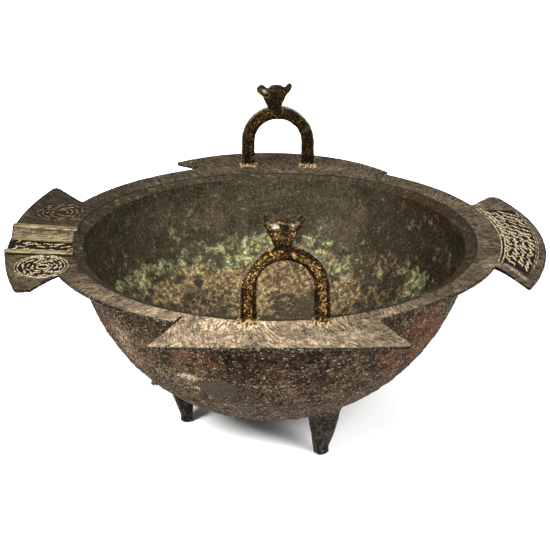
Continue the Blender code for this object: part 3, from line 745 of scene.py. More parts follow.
def make_rim(inside_skin):
    c = columns
    rows, plate, edge = rim_rows()
    row_of = np.repeat(np.arange(len(rows)), c.count)
    on_top = (row_of >= plate - 2) & (row_of <= edge)
    trough_ground_and_shade, trough_metal_and_highlight = [np.tile(values, len(rows)) for values in trough_paint()]

    def ground_and_shade(places):
        deep = np.maximum(sunk_fields(places[:, 0], places[:, 1]), trough_ground_and_shade)
        crack = np.zeros((len(rows), c.count))
        for j in range(plate, edge + 1):
            crack[j, c.crack - 1:c.crack + 2] = crack_depth(rows[j])
        # painted shade: a dark line on the lip's rounded inner edge
        lip = 0.8 * ((row_of >= plate - 3) & (row_of < plate - 1))
        return np.maximum(np.maximum(deep * on_top, crack.ravel()), lip)

    def edges(places):
        away = np.hypot(*(places[:, :2] - np.tile(c.points, (len(rows), 1))).T)
        top = smooth_step(2.6, 0.8, away - np.tile(c.worn_edge, len(rows)))
        return np.where(row_of > edge, 1, top * on_top)

    def tone(places):
        value = around_tone(RIM_TONES_AND_LIGHT)(places)
        for x, y, half_x, half_y, amount in RIM_PATCHES:
            value += amount * np.exp(-((places[:, 0] - x) / half_x) ** 2 - ((places[:, 1] - y) / half_y) ** 2)
        return np.clip(value, 0, 1.2)
    rim = grid_object("cauldron_rim", rows, rim_material(), {
        "tone": tone, "ground_and_shade": ground_and_shade, "edge": edges, "metal_and_highlight": lambda places: trough_metal_and_highlight * on_top,
        "rust": patina(INSIDE_PATINA["rust"], 0.75), "wall_tone": around_tone(BEVEL_TONES_AND_LIGHT)})
    rim.data.materials.append(inside_skin)
    for face in rim.data.polygons:
        if max(face.vertices) < (plate - 2) * c.count:
            face.material_index = 1
    return rim


def add_beads(material):
    """Small beads that the casting left on the skin."""
    bm = bmesh.new()
    fine = np.linspace(0, 1, PROFILE_STEPS)
    for at, height, out, radius in BEADS:
        t = fine[np.argmin([abs(skin_point(t)[1] - height) for t in fine])]
        r, z = wall_point(t, out)
        x, y = polar(r, at)
        add_ball(bm, (x + LEAN * (z + THROAT_DROP), y, z), radius, 3)
    noise.seed_set(BEAD_SEED)
    for vert in bm.verts:
        vert.co += 0.4 * MM * noise.noise_vector(vert.co / (2.5 * MM))
    finish_piece(add_object("casting_beads", bm, material), "bowl_bronze")


def make_bowl():
    inside = make_inside()
    rim = make_rim(inside.data.materials[0])
    outside = make_outside()
    add_beads(outside.data.materials[0])
    for piece in (inside, rim, outside):
        finish_piece(piece, "bowl_bronze", "bowl")


def bar_section(middle, across, half_w, half_d, facet):
    """Rectangle with cut corners: half_w along `across`, in the XZ plane, and half_d along Y."""
    cut = min(facet, 0.8 * half_w, 0.8 * half_d)
    w = half_w - cut
    d = half_d - cut
    plan = ((half_w, -d), (half_w, d), (w, half_d), (-w, half_d), (-half_w, d), (-half_w, -d),
            (-w, -half_d), (w, -half_d))
    return [(middle[0] + across[0] * u, middle[1] + v, middle[2] + across[1] * u) for u, v in plan]


def arch_rings(crown, form, outward):
    """Sections of the bar, up one leg, over the arch and down the other."""
    spring = crown - HANDLE_IN_R
    half = HANDLE_BAR / 2
    # share of the leg's height, share of the flare, share of the thinning
    leg = ((-SINK / spring, 1, 1), (0.04, 0.6, 1), (0.1, 0.25, 0.8), (0.28, 0, 0.4), (0.62, 0, 0))

    def leg_ring(side, up, flare, thin):
        thin = LEG_THIN * thin / 2
        middle = (side * (HANDLE_IN_R + half), outward * thin, up * spring)
        return bar_section(middle, (side, 0), half + LEG_FLARE * flare, HANDLE_DEPTH / 2 - thin, FACET)
    rings = [leg_ring(-1, *row) for row in leg]
    for i in range(ARCH_STEPS + 1):
        at = 180 - 180 * i / ARCH_STEPS
        outer = HANDLE_IN_R + HANDLE_BAR + sum(float(swell(at, hill)) for hill in form)
        x, z = polar((HANDLE_IN_R + outer) / 2, at)
        rings.append(bar_section((x, 0, spring + z), polar(1, at), (outer - HANDLE_IN_R) / 2,
                                 HANDLE_DEPTH / 2, FACET))
    return rings + [leg_ring(1, *row) for row in leg[::-1]]


def head_lofts(beside, arch_top, ears):
    """Head that widens upwards, with two ears and a snout; sizes are shares of HEAD_TALL."""
    tall = HEAD_TALL

    def level(up, left, right, deep, forward=0, facet=0.07):
        middle = (beside + (right - left) / 2 * tall, -forward * tall, arch_top + up * tall)
        return bar_section(middle, (-1, 0), (left + right) / 2 * tall, deep * tall, facet * tall)
    head = ((-0.26, 0.2, 0.2, 0.163), (-0.06, 0.26, 0.25, 0.19), (0.13, 0.34, 0.325, 0.206),
            (0.43, 0.475, 0.455, 0.242), (0.66, 0.575, 0.555, 0.23), (0.83, 0.6, 0.58, 0.17))
    snout = ((0.46, 0.118, 0.118, 0.15, 0.111, 0.05), (0.72, 0.124, 0.124, 0.144, 0.105, 0.05),
             (0.88, 0.075, 0.075, 0.078, 0.085, 0.03))
    lofts = [[level(*row) for row in head]]
    # outwards, up, half sizes across and deep, share of the ear's lift
    spine = ((0.27, 0.51, 0.17, 0.209, 0), (0.44, 0.68, 0.163, 0.183, 0.5), (0.575, 0.84, 0.137, 0.144, 1),
             (0.65, 0.94, 0.085, 0.085, 1))
    for side, lift in ((-1, ears[0]), (1, ears[1])):
        rings = []
        for out, up, wide, deep, share in spine:
            middle = (beside + side * out * tall, 0, arch_top + up * tall + share * lift)
            facet = 0.45 * min(wide, deep) * tall
            rings.append(bar_section(middle, (-0.72 * side, 0.69), wide * tall, deep * tall, facet))
        lofts.append(rings)
    return lofts + [[level(*row) for row in snout]]


def melted(bm):
    """One skin round all closed parts of a bmesh, on an even grid, with softened edges."""
    mesh = to_mesh("melting", bm)
    ob = link_object("melting", mesh)
    remesh = ob.modifiers.new("remesh", "REMESH")
    remesh.mode = "VOXEL"
    remesh.voxel_size = HANDLE_VOXEL * MM
    soften = ob.modifiers.new("soften", "SMOOTH")
    soften.factor = 0.5
    soften.iterations = HANDLE_SOFTEN
    ready = ob.evaluated_get(bpy.context.evaluated_depsgraph_get())
    result = bpy.data.meshes.new_from_object(ready)
    bpy.data.objects.remove(ob)
    bpy.data.meshes.remove(mesh)
    return result


def vertex_arrays(mesh):
    """Positions in millimetres from the middle of the rim plane, and normals."""
    values = []
    for key in ("co", "normal"):
        values.append(np.empty(len(mesh.vertices) * 3, np.float32))
        mesh.vertices.foreach_get(key, values[-1])
    places, normals = [array.reshape(-1, 3).astype(float) for array in values]
    return places / MM + ORIGIN, normals


def squarish(a, power):
    """Cosine and sine of angles, drawn out towards a square by a power under 1."""
    return [np.copysign(abs(side) ** power, side) for side in (np.cos(a), np.sin(a))]


def add_crumbs(bm, place, outward, rng):
    """Lumps of joining metal round the feet of a handle."""
    for side in (-1, 1):
        middle = place[0] + side * (HANDLE_IN_R + HANDLE_BAR / 2)
        for _ in range(CRUMBS):
            across, deep = squarish(2 * math.pi * rng.random(), 0.5)
            reach = rng.uniform(-0.3, 1.6)
            x = middle + across * (HANDLE_BAR / 2 + LEG_FLARE + reach)
            y = place[1] + deep * (HANDLE_DEPTH / 2 - LEG_THIN / 2 + reach) + outward * LEG_THIN / 2
            size = rng.uniform(0.6, 2)
            add_ball(bm, (x, y, rng.uniform(-0.4, 1.6) - 0.5 * reach), size, 2)


def away_from_line(x, z, start, end):
    """Distance in the XZ plane from a stretch between two points."""
    along = (end[0] - start[0], end[1] - start[1])
    length = along[0] ** 2 + along[1] ** 2
    t = np.clip(((x - start[0]) * along[0] + (z - start[1]) * along[1]) / length, 0, 1)
    return np.hypot(x - start[0] - t * along[0], z - start[1] - t * along[1])


def make_handle(node, sizes, material):
    """Cast handle with its animal head, melted from lofts and lumps, then carved and pitted."""
    x0, y0 = sizes["place"]
    seed = sizes["seed"]
    top = sizes["crown"] + HANDLE_BAR
    bm = bmesh.new()
    for rings in [arch_rings(sizes["crown"], sizes["form"], sizes["outward"]),
                  *head_lofts(sizes["beside"], top, sizes["ears"])]:
        add_skin(bm, np.array(rings) + (x0, y0, 0), "capped")
    add_crumbs(bm, sizes["place"], sizes["outward"], random.Random(seed))
    mesh = melted(bm)
    places, normals = vertex_arrays(mesh)
    # x and y stay as cast, while z is a view that follows the carving
    x = places[:, 0] - x0
    y = places[:, 1] - y0
    z = places[:, 2]
    front = smooth_step(0.1, -0.5, normals[:, 1])
    across = (x - sizes["beside"]) / HEAD_TALL
    up = (z - top) / HEAD_TALL
    hollow, cup_highlight, line = np.zeros((3, len(x)))
    # each cup is carved as a hollow, and a highlight is painted on the worn, polished metal in it
    for cx, cz, wide, tall, painted_shine in sizes["cups"]:
        cup = np.exp(-((across - cx) / wide) ** 2 - ((up - cz) / tall) ** 2)
        hollow = np.maximum(hollow, cup)
        cup_highlight = np.maximum(cup_highlight, painted_shine * cup)
    for start, end in sizes["grooves"]:
        line = np.maximum(line, np.exp(-(away_from_line(x, z, start, end) / 0.9) ** 2))
    calm = 1 - 0.7 * smooth_step(0.4, 0.6, up)
    lumps = (0.3 * rough(places, 7, seed) + 0.3 * rough(places, 2.4, seed + 1)) * calm
    places += normals * (lumps - 0.05)[:, None]
    for at, deep in sizes["dips"]:
        places[:, 2] -= deep * np.exp(-((across - at) / 0.11) ** 2) * smooth_step(0.55, 0.85, up)
    places[:, 1] += front * (HOLLOW_DEEP * HEAD_TALL * hollow + GROOVE_DEEP * line)
    mesh.vertices.foreach_set("co", to_frame(places).astype(np.float32).ravel())
    mesh.update()
    ob = add_object("cauldron_" + node, mesh, material, sharp=50)

    spring = sizes["crown"] - HANDLE_IN_R
    radius = np.where(z > spring, np.hypot(x, z - spring), np.abs(x))
    turn = np.degrees(np.arctan2(np.maximum(z - spring, 0), x))
    wide = (HANDLE_BAR + sum(swell(turn, hill) for hill in sizes["form"])) / 2
    u = (radius - HANDLE_IN_R - wide) / wide
    v = np.abs(y / (HANDLE_DEPTH / 2))
    sides = np.abs(across)
    bar = smooth_step(0.2, -0.05, up) + smooth_step(0.3, 0.5, sides) * smooth_step(0.5, 0.3, up)
    bar = np.clip(bar, 0, 1)
    face = 0.2 * smooth_step(0.05, 0.15, up) + 0.35 * smooth_step(0.45, 0.6, up)
    # painted highlight: a pale strip along the outer side of the arch's upper part, as if lit from above
    highlight_strip = bar * smooth_step(0.8, 0.95, u) * smooth_step(0.75, 0.5, v)
    paints = {
        "dark": np.maximum.reduce([bar * smooth_step(1.44, 1.66, np.abs(u) + v), line * front,
                                   bar * smooth_step(0.8, 1, -u), face * (1 - cup_highlight),
                                   np.full(len(x), float(sizes["dull"]))]),
        "highlight_strip": highlight_strip * smooth_step(0.5 * spring, spring, z),
        "cup_highlight": front * cup_highlight,
        "collar": smooth_step(5.5, 2, z + 3 * rough(places, 3, seed + 2)),
        "tip": smooth_step(0.5, 0.66, sides) * smooth_step(0.3, 0.5, up)}
    for key, values in paints.items():
        set_paint(ob.data, key, values)
    finish_piece(ob, "handle_bronze", node)


def make_foot(node, at, seed, material):
    """Tapered foot whose top sinks a little into the bowl's skin."""
    tall = float(skin_height(FOOT_RING)) + RIM_Z
    rows = np.array(FOOT_FORM)
    shares = np.concatenate([[0, 0.004, 0.012, 0.025], np.linspace(0.05, 1.5, FOOT_ROWS)])
    shift, out, along = [np.interp(shares, rows[:, 0], rows[:, k])[:, None] for k in (1, 2, 3)]
    cos_at, sin_at = polar(1, at)
    ring_x, ring_y = squarish(2 * np.pi * (np.arange(FOOT_SIDES) + 0.5) / FOOT_SIDES, 0.72)
    middle = FOOT_RING + shift * FOOT_RADIAL
    u = middle + ring_x * out * FOOT_RADIAL
    v = ring_y * along * FOOT_ALONG
    z = np.broadcast_to(shares[:, None] * tall - RIM_Z, u.shape)
    grid = np.stack([cos_at * u - sin_at * v, sin_at * u + cos_at * v, z], -1).reshape(-1, 3)
    outward = unit(grid[:, :2] - np.repeat(middle * (cos_at, sin_at), FOOT_SIDES, axis=0))
    inside = skin_height(np.hypot(grid[:, 0] - LEAN * grid[:, 2], grid[:, 1])) - grid[:, 2]
    lumps = 0.45 * rough(grid, 12, seed) + 0.2 * rough(grid, 3.5, seed + 1) - 0.35
    lumps *= smooth_step(-RIM_Z, 4 - RIM_Z, grid[:, 2])
    grid[:, :2] += outward * (lumps + 1.6 * np.exp(-np.maximum(inside, 0) / 2.2))[:, None]
    grid[:, 2] = np.minimum(grid[:, 2], skin_height(np.hypot(grid[:, 0], grid[:, 1])) + 1.5)
    bm = bmesh.new()
    add_skin(bm, grid.reshape(-1, FOOT_SIDES, 3), "capped")
    ob = add_object("cauldron_" + node, bm, material, sharp=60)
    set_paint(ob.data, "lip", smooth_step(5, 1, inside + 3 * rough(grid, 4, seed + 2)))
    finish_piece(ob, "foot_bronze", node)


def tint(red, green, blue):
    """Colour of a surface that shows as this sRGB colour under the studio's light."""
    linear = []
    for value in (red, green, blue):
        value /= 255
        value = value / 12.92 if value <= 0.04045 else ((value + 0.055) / 1.055) ** 2.4
        linear.append(min(value / LIGHT, 1))
    return (*linear, 1)


class Skin:
    """Procedural material, put together from the object's own coordinates and the numbers at its vertices.

    A value is a socket, a plain number or the name of a number at the vertices.
    A colour is a socket or three numbers, as it shows in sRGB.
    """

    def __init__(self, name):
        self.mat = bpy.data.materials.new(name)
        self.mat.use_nodes = True
        self.tree = self.mat.node_tree
        self.shader = self.tree.nodes["Principled BSDF"]
        self.place = self.tree.nodes.new("ShaderNodeTexCoord").outputs["Object"]

    def node(self, kind, inputs, **settings):
        made = self.tree.nodes.new(kind)
        for key, value in settings.items():
            setattr(made, key, value)
        for key, value in inputs.items():
            if isinstance(value, str):
                value = self.node("ShaderNodeAttribute", {}, attribute_name=value).outputs["Fac"]
            if isinstance(value, bpy.types.NodeSocket):
                self.tree.links.new(value, made.inputs[key])
            else:
                made.inputs[key].default_value = value
        return made

    def moved(self, shift, stretch=(1, 1, 1)):
        """Object coordinates, shifted by millimetres and stretched."""
        inputs = {"Vector": self.place, "Location": (shift * MM,) * 3, "Scale": stretch}
        return self.node("ShaderNodeMapping", inputs).outputs["Vector"]

    def noise(self, size, detail, shift=0, stretch=(1, 1, 1), vector=None):
        """Noise of about 0.3 to 0.7, with bumps of a size in millimetres."""
        vector = vector or self.moved(shift, stretch)
        inputs = {"Vector": vector, "Scale": 1 / (size * MM), "Detail": detail, "Roughness": 0.6}
        return self.node("ShaderNodeTexNoise", inputs).outputs["Fac"]

    def step(self, value, low, high, to_low=0, to_high=1):
        inputs = {"Value": value, "From Min": low, "From Max": high, "To Min": to_low, "To Max": to_high}
        return self.node("ShaderNodeMapRange", inputs, interpolation_type="SMOOTHSTEP").outputs["Result"]

    def maths(self, operation, a, b):
        return self.node("ShaderNodeMath", {0: a, 1: b}, operation=operation).outputs["Value"]

    def total(self, *terms):
        """Sum of values; a pair is a value and its factor."""
        terms = [self.maths("MULTIPLY", *term) if isinstance(term, tuple) else term for term in terms]
        result = terms[0]
        for term in terms[1:]:
            result = self.maths("ADD", result, term)
        return result

    def mix(self, amount, *colours):
        a, b = [tint(*colour) if isinstance(colour, tuple) else colour for colour in colours]
        return self.node("ShaderNodeMix", {0: amount, 6: a, 7: b}, data_type="RGBA").outputs[2]

    def scaled(self, colour, *factors):
        """Colour with its red, green and blue multiplied."""
        inputs = {0: 1, 6: colour, 7: (*factors, 1)}
        return self.node("ShaderNodeMix", inputs, data_type="RGBA", blend_type="MULTIPLY").outputs[2]

    def under(self, colour, *layers):
        """Colour under layers, each a value, its range from none to full, the share at full and a colour.

        A layer without a range goes by the value itself, times the share.
        """
        for value, *span, share, top in layers:
            amount = self.step(value, *span, 0, share) if span else self.maths("MULTIPLY", value, share)
            colour = self.mix(amount, colour, top)
        return colour

    def between(self, value, low, high, *colours):
        """Mix of two colours, as a value goes from low to high."""
        return self.mix(self.step(value, low, high), *colours)

    def file_marks(self, cell, stretch, lean, shift):
        """Fine strokes away from the middle, that lean another way in each cell."""
        place = self.moved(shift)
        inputs = {"Vector": place, "Scale": 1 / (cell * MM), "Randomness": 0.9}
        cells = self.node("ShaderNodeTexVoronoi", inputs).outputs
        middle = self.node("ShaderNodeSeparateXYZ", {"Vector": cells["Position"]}).outputs
        chance = self.node("ShaderNodeSeparateColor", {"Color": cells["Color"]}).outputs["Red"]
        turn = self.maths("MULTIPLY", self.maths("SUBTRACT", chance, 0.5), lean)
        turn = self.maths("SUBTRACT", turn, self.maths("ARCTAN2", middle["Y"], middle["X"]))
        inputs = {"Vector": place, "Angle": turn, "Axis": (0, 0, 1)}
        turned = self.node("ShaderNodeVectorRotate", inputs).outputs["Vector"]
        drawn = self.node("ShaderNodeMapping", {"Vector": turned, "Scale": (stretch, 1, 1)}).outputs["Vector"]
        return self.noise(1.5, 1, vector=drawn)

    def flakes(self, size, shift):
        """One chance number, 0 to 1, for each flake of a size in millimetres, with ragged sides."""
        inputs = {"Vector": self.place, "Scale": 1 / (0.6 * size * MM), "Detail": 3}
        wave = self.node("ShaderNodeTexNoise", inputs).outputs["Color"]
        inputs = {0: wave, "Scale": 1.1 * size * MM}
        wave = self.node("ShaderNodeVectorMath", inputs, operation="SCALE").outputs["Vector"]
        inputs = {0: self.moved(shift), 1: wave}
        vector = self.node("ShaderNodeVectorMath", inputs, operation="ADD").outputs["Vector"]
        inputs = {"Vector": vector, "Scale": 1 / (size * MM)}
        cells = self.node("ShaderNodeTexVoronoi", inputs).outputs["Color"]
        return self.node("ShaderNodeSeparateColor", {"Color": cells}).outputs["Green"]

    def finish(self, colour, roughness, height, bump, specular):
        """The material; roughness holds a value and its ranges as for step, and bump is in millimetres."""
        links = self.tree.links
        links.new(colour, self.shader.inputs["Base Color"])
        links.new(self.step(*roughness), self.shader.inputs["Roughness"])
        self.shader.inputs["Specular IOR Level"].default_value = specular
        inputs = {"Height": height, "Distance": bump * MM, "Strength": 1}
        links.new(self.node("ShaderNodeBump", inputs).outputs["Normal"], self.shader.inputs["Normal"])
        return self.mat


def inside_material():
    s = Skin("bronze_inside")
    wide = s.noise(40, 5, 3)
    fine = s.noise(1.8, 4, 7)
    lace = s.noise(12, 12, 11)
    small = s.noise(5, 10, 13)
    streaks = s.noise(3, 3, 17, (1, 1, 0.12))
    grain = s.noise(2.6, 6, 23)
    stain = s.under(
        s.between(small, 0.42, 0.56, (94, 80, 58), (160, 137, 96)),
        (small, 0.56, 0.66, 0.8, (198, 178, 128)),
        (lace, 0.5, 0.38, 0.8, (80, 67, 49)))
    blot = s.between(small, 0.45, 0.6, (60, 51, 38), (132, 112, 82))
    green = s.under(
        s.between(s.noise(26, 3, 31), 0.47, 0.62, (144, 139, 92), (124, 140, 106)),
        (small, 0.5, 0.62, 1, (200, 203, 152)),
        (small, 0.49, 0.4, 0.9, (84, 75, 50)))
    colour = s.under(
        s.mix("wall_tone", (40, 34, 22), (92, 82, 66)),
        ("haze", 0.55, (112, 98, 82)),
        (wide, 0.4, 0.6, 0.55, (56, 52, 34)),
        (lace, 0.5, 0.64, 0.2, (104, 95, 70)),
        (lace, 0.48, 0.36, 0.3, (36, 30, 20)),
        (streaks, 0.56, 0.7, 0.4, (104, 94, 74)),
        (s.total("ochre", (lace, 2.4)), 1.35, 1.9, 0.95, stain),
        (s.total("blot", (lace, 2.2)), 1.35, 1.7, 0.9, blot),
        (s.total("green", (s.noise(14, 14, 37), 3.6)), 2.1, 2.9, 0.9, green),
        (s.total("rust", (lace, 1.2)), 0.8, 1.3, 0.75, (62, 38, 25)))
    colour = s.under(
        colour,
        (grain, 0.52, 0.64, 0.8, s.scaled(colour, 1.9, 1.85, 1.8)),
        (grain, 0.48, 0.38, 0.85, s.scaled(colour, 0.5, 0.48, 0.45)),
        (fine, 0.61, 0.7, 0.7, (176, 160, 122)),
        (fine, 0.42, 0.32, 0.8, (28, 22, 14)))
    return s.finish(colour, (wide, 0.4, 0.6, 0.5, 0.72), s.total(fine, (lace, 3)), 1, 0.04)


def rim_material():
    s = Skin("bronze_rim")
    wide = s.noise(24, 4, 3)
    fine = s.noise(1.9, 3, 7)
    grain = s.noise(4.5, 6, 9)
    marks = s.file_marks(34, 0.14, 1.3, 13)
    patchy = s.step(s.noise(16, 3, 71), 0.38, 0.56, 0.15, 0.85)
    # tone carries painted light too: the near flange paler, as lit
    tone = s.maths("MULTIPLY", "tone", s.step(wide, 0.35, 0.65, 0.6, 1.35))
    base = s.mix(tone, (50, 43, 31), (206, 183, 151))
    paler = s.scaled(base, 2.7, 2.6, 2.5)
    darker = s.scaled(base, 0.3, 0.28, 0.25)
    # worn ridge metal with painted highlights, for the trough
    ridge = s.under(
        s.between(s.noise(2, 3, 61, (0.12, 1, 1)), 0.38, 0.6, (100, 84, 58), (228, 204, 152)),
        (fine, 0.45, 0.34, 1, (48, 40, 28)))
    colour = s.under(
        base,
        (grain, 0.52, 0.62, 0.6, paler),
        (grain, 0.47, 0.37, 0.75, darker),
        (s.step(marks, 0.54, 0.58), patchy, paler),
        (s.step(marks, 0.46, 0.42), patchy, darker),
        (s.file_marks(14, 0.35, 2.4, 51), 0.42, 0.36, 0.7, darker),
        (fine, 0.41, 0.33, 0.95, darker),
        (fine, 0.6, 0.68, 0.85, paler),
        # worn metal and painted highlights along the trough
        ("metal_and_highlight", 1, ridge),
        # dark ground of the ornament, trough and crack, with painted shade along the lip and the ridges' feet
        ("ground_and_shade", 1, s.between(fine, 0.46, 0.66, (16, 12, 8), (52, 42, 28))),
        ("edge", 0.95, s.between(fine, 0.55, 0.64, (22, 18, 12), (170, 150, 114))))
    return s.finish(colour, (marks, 0.35, 0.65, 0.65, 0.45), s.total((marks, 0.8), fine, grain), 1.2, 0.05)


def outside_material():
    s = Skin("bronze_outside")
    wide = s.noise(34, 5, 3)
    lumps = s.noise(14, 9, 7)
    fine = s.noise(2.1, 4, 11)
    flecks = s.noise(3.2, 3, 19, (1, 1, 1.6))
    flake = s.flakes(7, 29)
    cover = s.total("smooth", (lumps, 3.2))
    colour = s.under(
        s.between(wide, 0.42, 0.58, (72, 52, 37), (112, 88, 66)),
        (s.total("red", wide), 0.7, 1.3, 0.9, (128, 74, 46)),
        # painted shade under the flanges
        ("shade_under_flanges", 0.75, (44, 30, 20)),
        # painted light thrown up from the floor, paler towards the bottom
        ("low", 0.6, (116, 102, 90)),
        (lumps, 0.49, 0.42, 0.7, (40, 29, 20)),
        (lumps, 0.54, 0.62, 0.55, (142, 114, 88)),
        (flake, 0.78, 0.82, 0.35, (146, 119, 91)),
        (flake, 0.22, 0.18, 0.5, (38, 29, 20)),
        (fine, 0.44, 0.38, 0.85, (24, 17, 11)),
        (s.total(fine, ("pale", 0.15), ("shade_under_flanges", -0.05)), 0.59, 0.64, 0.85, (206, 178, 138)),
        (flecks, 0.62, 0.65, 0.95, (252, 234, 190)),
        (s.total("pale", (s.noise(5, 8, 33), 3.4)), 2.5, 2.65, 0.95, (240, 224, 184)),
        (cover, 2.1, 2.2, 0.95, s.between(fine, 0.38, 0.62, (74, 65, 54), (100, 90, 76))))
    height = s.total((lumps, 3), (flake, 0.1), (fine, 0.5), (flecks, 0.5))
    height = s.maths("MULTIPLY", height, s.step(cover, 2.1, 2.22, 1, 0.25))
    return s.finish(colour, (wide, 0.4, 0.6, 0.6, 0.8), height, 4.5, 0.03)


def handle_material():
    s = Skin("bronze_handle")
    fine = s.noise(1.6, 3, 7)
    lumps = s.noise(8, 4, 3)
    cover = s.total((fine, 1.5), (lumps, 0.8), ("dark", -0.3))
    # painted highlights in the head's hollows: cream, and whiter where strongest
    painted_shine = s.total("cup_highlight", (s.noise(3.5, 5, 45), 1.6))
    colour = s.under(
        (32, 24, 13),
        (cover, 1.06, 1.2, 1, (112, 79, 37)),
        # the palest specks are gold with painted glints on it
        (cover, 1.27, 1.35, 1, (232, 192, 120)),
        # painted highlight along the arch's outer side
        ("highlight_strip", 0.85, s.between(fine, 0.4, 0.6, (74, 62, 46), (190, 174, 146))),
        ("collar", 1, s.between(s.noise(2.6, 4, 41), 0.42, 0.56, (74, 52, 26), (238, 206, 150))),
        (painted_shine, 0.98, 1.12, 0.9, (140, 124, 92)),
        (painted_shine, 1.22, 1.42, 0.95, (252, 242, 218)),
        ("tip", 0.6, s.between(fine, 0.5, 0.62, (44, 22, 12), (160, 130, 96))))
    return s.finish(colour, (fine, 0.4, 0.6, 0.3, 0.5), s.total(fine, lumps), 1.6, 0.02)


def foot_material():
    s = Skin("bronze_foot")
    fine = s.noise(2.2, 4, 7)
    lumps = s.noise(7, 5, 3)
    colour = s.under(
        s.between(lumps, 0.44, 0.58, (34, 28, 22), (84, 74, 64)),
        (fine, 0.6, 0.68, 0.8, (176, 156, 124)),
        ("lip", 0.7, s.between(fine, 0.5, 0.6, (46, 37, 28), (196, 172, 130))))
    return s.finish(colour, (lumps, 0.4, 0.6, 0.35, 0.6), s.total(fine, lumps), 2.2, 0.03)


def stroke_material(name, dark, light):
    s = Skin(name)
    fine = s.noise(2.2, 3, 5)
    return s.finish(s.between(fine, 0.4, 0.6, dark, light), (fine, 0.4, 0.6, 0.4, 0.6), fine, 0.3, 0.1)


def bend(p, q, sway, count=9):
    """Points on an S-curve from p to q that sways to both sides."""
    points = []
    along = (q[0] - p[0], q[1] - p[1])
    for i in range(count):
        t = i / (count - 1)
        side = sway * math.sin(2 * math.pi * t) * (1 - 0.35 * t)
        points.append((p[0] + along[0] * t - along[1] * side, p[1] + along[1] * t + along[0] * side))
    return points


def oval(cx, cy, half_x, half_y, count=72):
    turns = [2 * math.pi * i / count for i in range(count)]
    return [(cx + half_x * math.cos(a), cy + half_y * math.sin(a)) for a in turns]


def spiral(cx, cy, radius, start, turns, count=16):
    points = []
    for i in range(count):
        t = i / (count - 1)
        x, y = polar(radius * (1 - 0.8 * t), start + 360 * turns * t)
        points.append((cx + x, cy + 1.2 * y))
    return points


def add_stroke(bm, path, width, floor, top, closed=False, taper=0.75):
    """Raised stroke along a path on the plan, flat-topped, thinner towards its ends."""
    points = np.array(path)
    if closed:
        along = np.roll(points, -1, axis=0) - np.roll(points, 1, axis=0)
    else:
        along = np.gradient(points, axis=0)
    along /= np.linalg.norm(along, axis=1)[:, None] + 1e-9
    side = np.column_stack([-along[:, 1], along[:, 0]])
    halves = width / 2 * (1 - (0 if closed else taper) * np.linspace(-1, 1, len(points)) ** 2)
    section = ((-1, floor), (-0.62, top), (0.62, top), (1, floor))
    rings = [[(*(p + n * half * across), height) for across, height in section]
             for p, n, half in zip(points, side, halves)]
    add_skin(bm, rings, "looped" if closed else "capped")


def panel_place(share, down):
    """Place in the fan's panel: share 0 is its inner side, 1 the outer; down 0 the far end, 1 the near."""
    low, high = panel_ends(share)
    return polar(RIM_R - PANEL_IN + (PANEL_OUT + PANEL_IN) * share, high + (low - high) * down)


def fan_strokes(bm):
    """Rows of slanting strokes and a few curls; they aren't letters."""
    rng = random.Random(5)
    count = 14
    for j, (inner, outer) in enumerate(((0.075, 0.28), (0.31, 0.51), (0.54, 0.73), (0.76, 0.96))):
        for k in range(count):
            down = (k + 0.3 + 0.5 * (j % 2)) / (count + 1.3)
            slant = rng.uniform(0.045, 0.08)
            start = panel_place(inner + rng.uniform(-0.02, 0.03), down + rng.uniform(-0.006, 0.006))
            end = panel_place(outer + rng.uniform(-0.03, 0.03), min(down + slant, 0.985))
            wide = rng.uniform(2.1, 3) * (0.7 if down < 0.3 else 1)
            if (3 * k + j) % 13 == 7:
                centre = panel_place((inner + outer) / 2, down + 0.02)
                add_stroke(bm, spiral(*centre, 4.2, rng.uniform(0, 360), 1.2), 1.6, -1, -0.1)
                continue
            add_stroke(bm, bend(start, end, rng.uniform(-0.12, 0.12)), wide, -1, -0.1)
            if rng.random() < 0.1:
                hook = panel_place(outer + rng.uniform(-0.06, 0.02), min(down + slant + 0.01, 0.985))
                tip = (hook[0] + rng.uniform(-1, 3), hook[1] + rng.uniform(3, 5))
                add_stroke(bm, bend(hook, tip, 0.15), 1.8, -1, -0.2)


def panel_borders(bm):
    """Double line along the panel's inner side, a broken one along its outer side, and one near its end."""
    for out in (-0.6, 3.2):
        path = [polar(RIM_R + out, 21 - 38 * i / 60) for i in range(61)]
        add_stroke(bm, path, 1.5, -0.9, 0.2, taper=0.2)
    for out, late in ((36.3, 0), (38.6, 0.25)):
        for k in range(12):
            path = [polar(RIM_R + out, 15 - 34 * (k + late) / 12 - 1.9 * i / 6) for i in range(7)]
            add_stroke(bm, path, 0.9, -0.9, 0.08)
    for shift in (0, 2.6):
        ends = [(x - 0.9 * shift, y - 0.3 * shift) for x, y in ((246.7, -78.8), (264.3, -123))]
        add_stroke(bm, bend(*ends, 0.01, 24), 1.2, -0.9, 0.15, taper=0.3)


def roundel_strokes(bm, place, rings, wide, top, seed):
    """Short wavy strokes that follow an oval in rings round its middle; they aren't letters."""
    rng = random.Random(seed)
    cx, cy, half_x, half_y = place
    for share in rings:
        at = rng.uniform(0, 0.6)
        end = at + 2 * math.pi
        while at < end - 0.1:
            near = share * math.hypot(half_x * math.sin(at), half_y * math.cos(at))
            sweep = min(rng.uniform(7, 14) / near, end - at)
            lean = rng.uniform(-0.09, 0.09)
            wave = rng.uniform(0.02, 0.06) * rng.choice((-1, 1))
            path = []
            for i in range(9):
                t = i / 8
                r = share + lean * (t - 0.5) + wave * math.sin(2 * math.pi * t)
                a = at + sweep * t
                path.append((cx + r * half_x * math.cos(a), cy + r * half_y * math.sin(a)))
            add_stroke(bm, path, wide * rng.uniform(0.7, 1.2), -1, top)
            at += sweep + rng.uniform(2, 5) / near


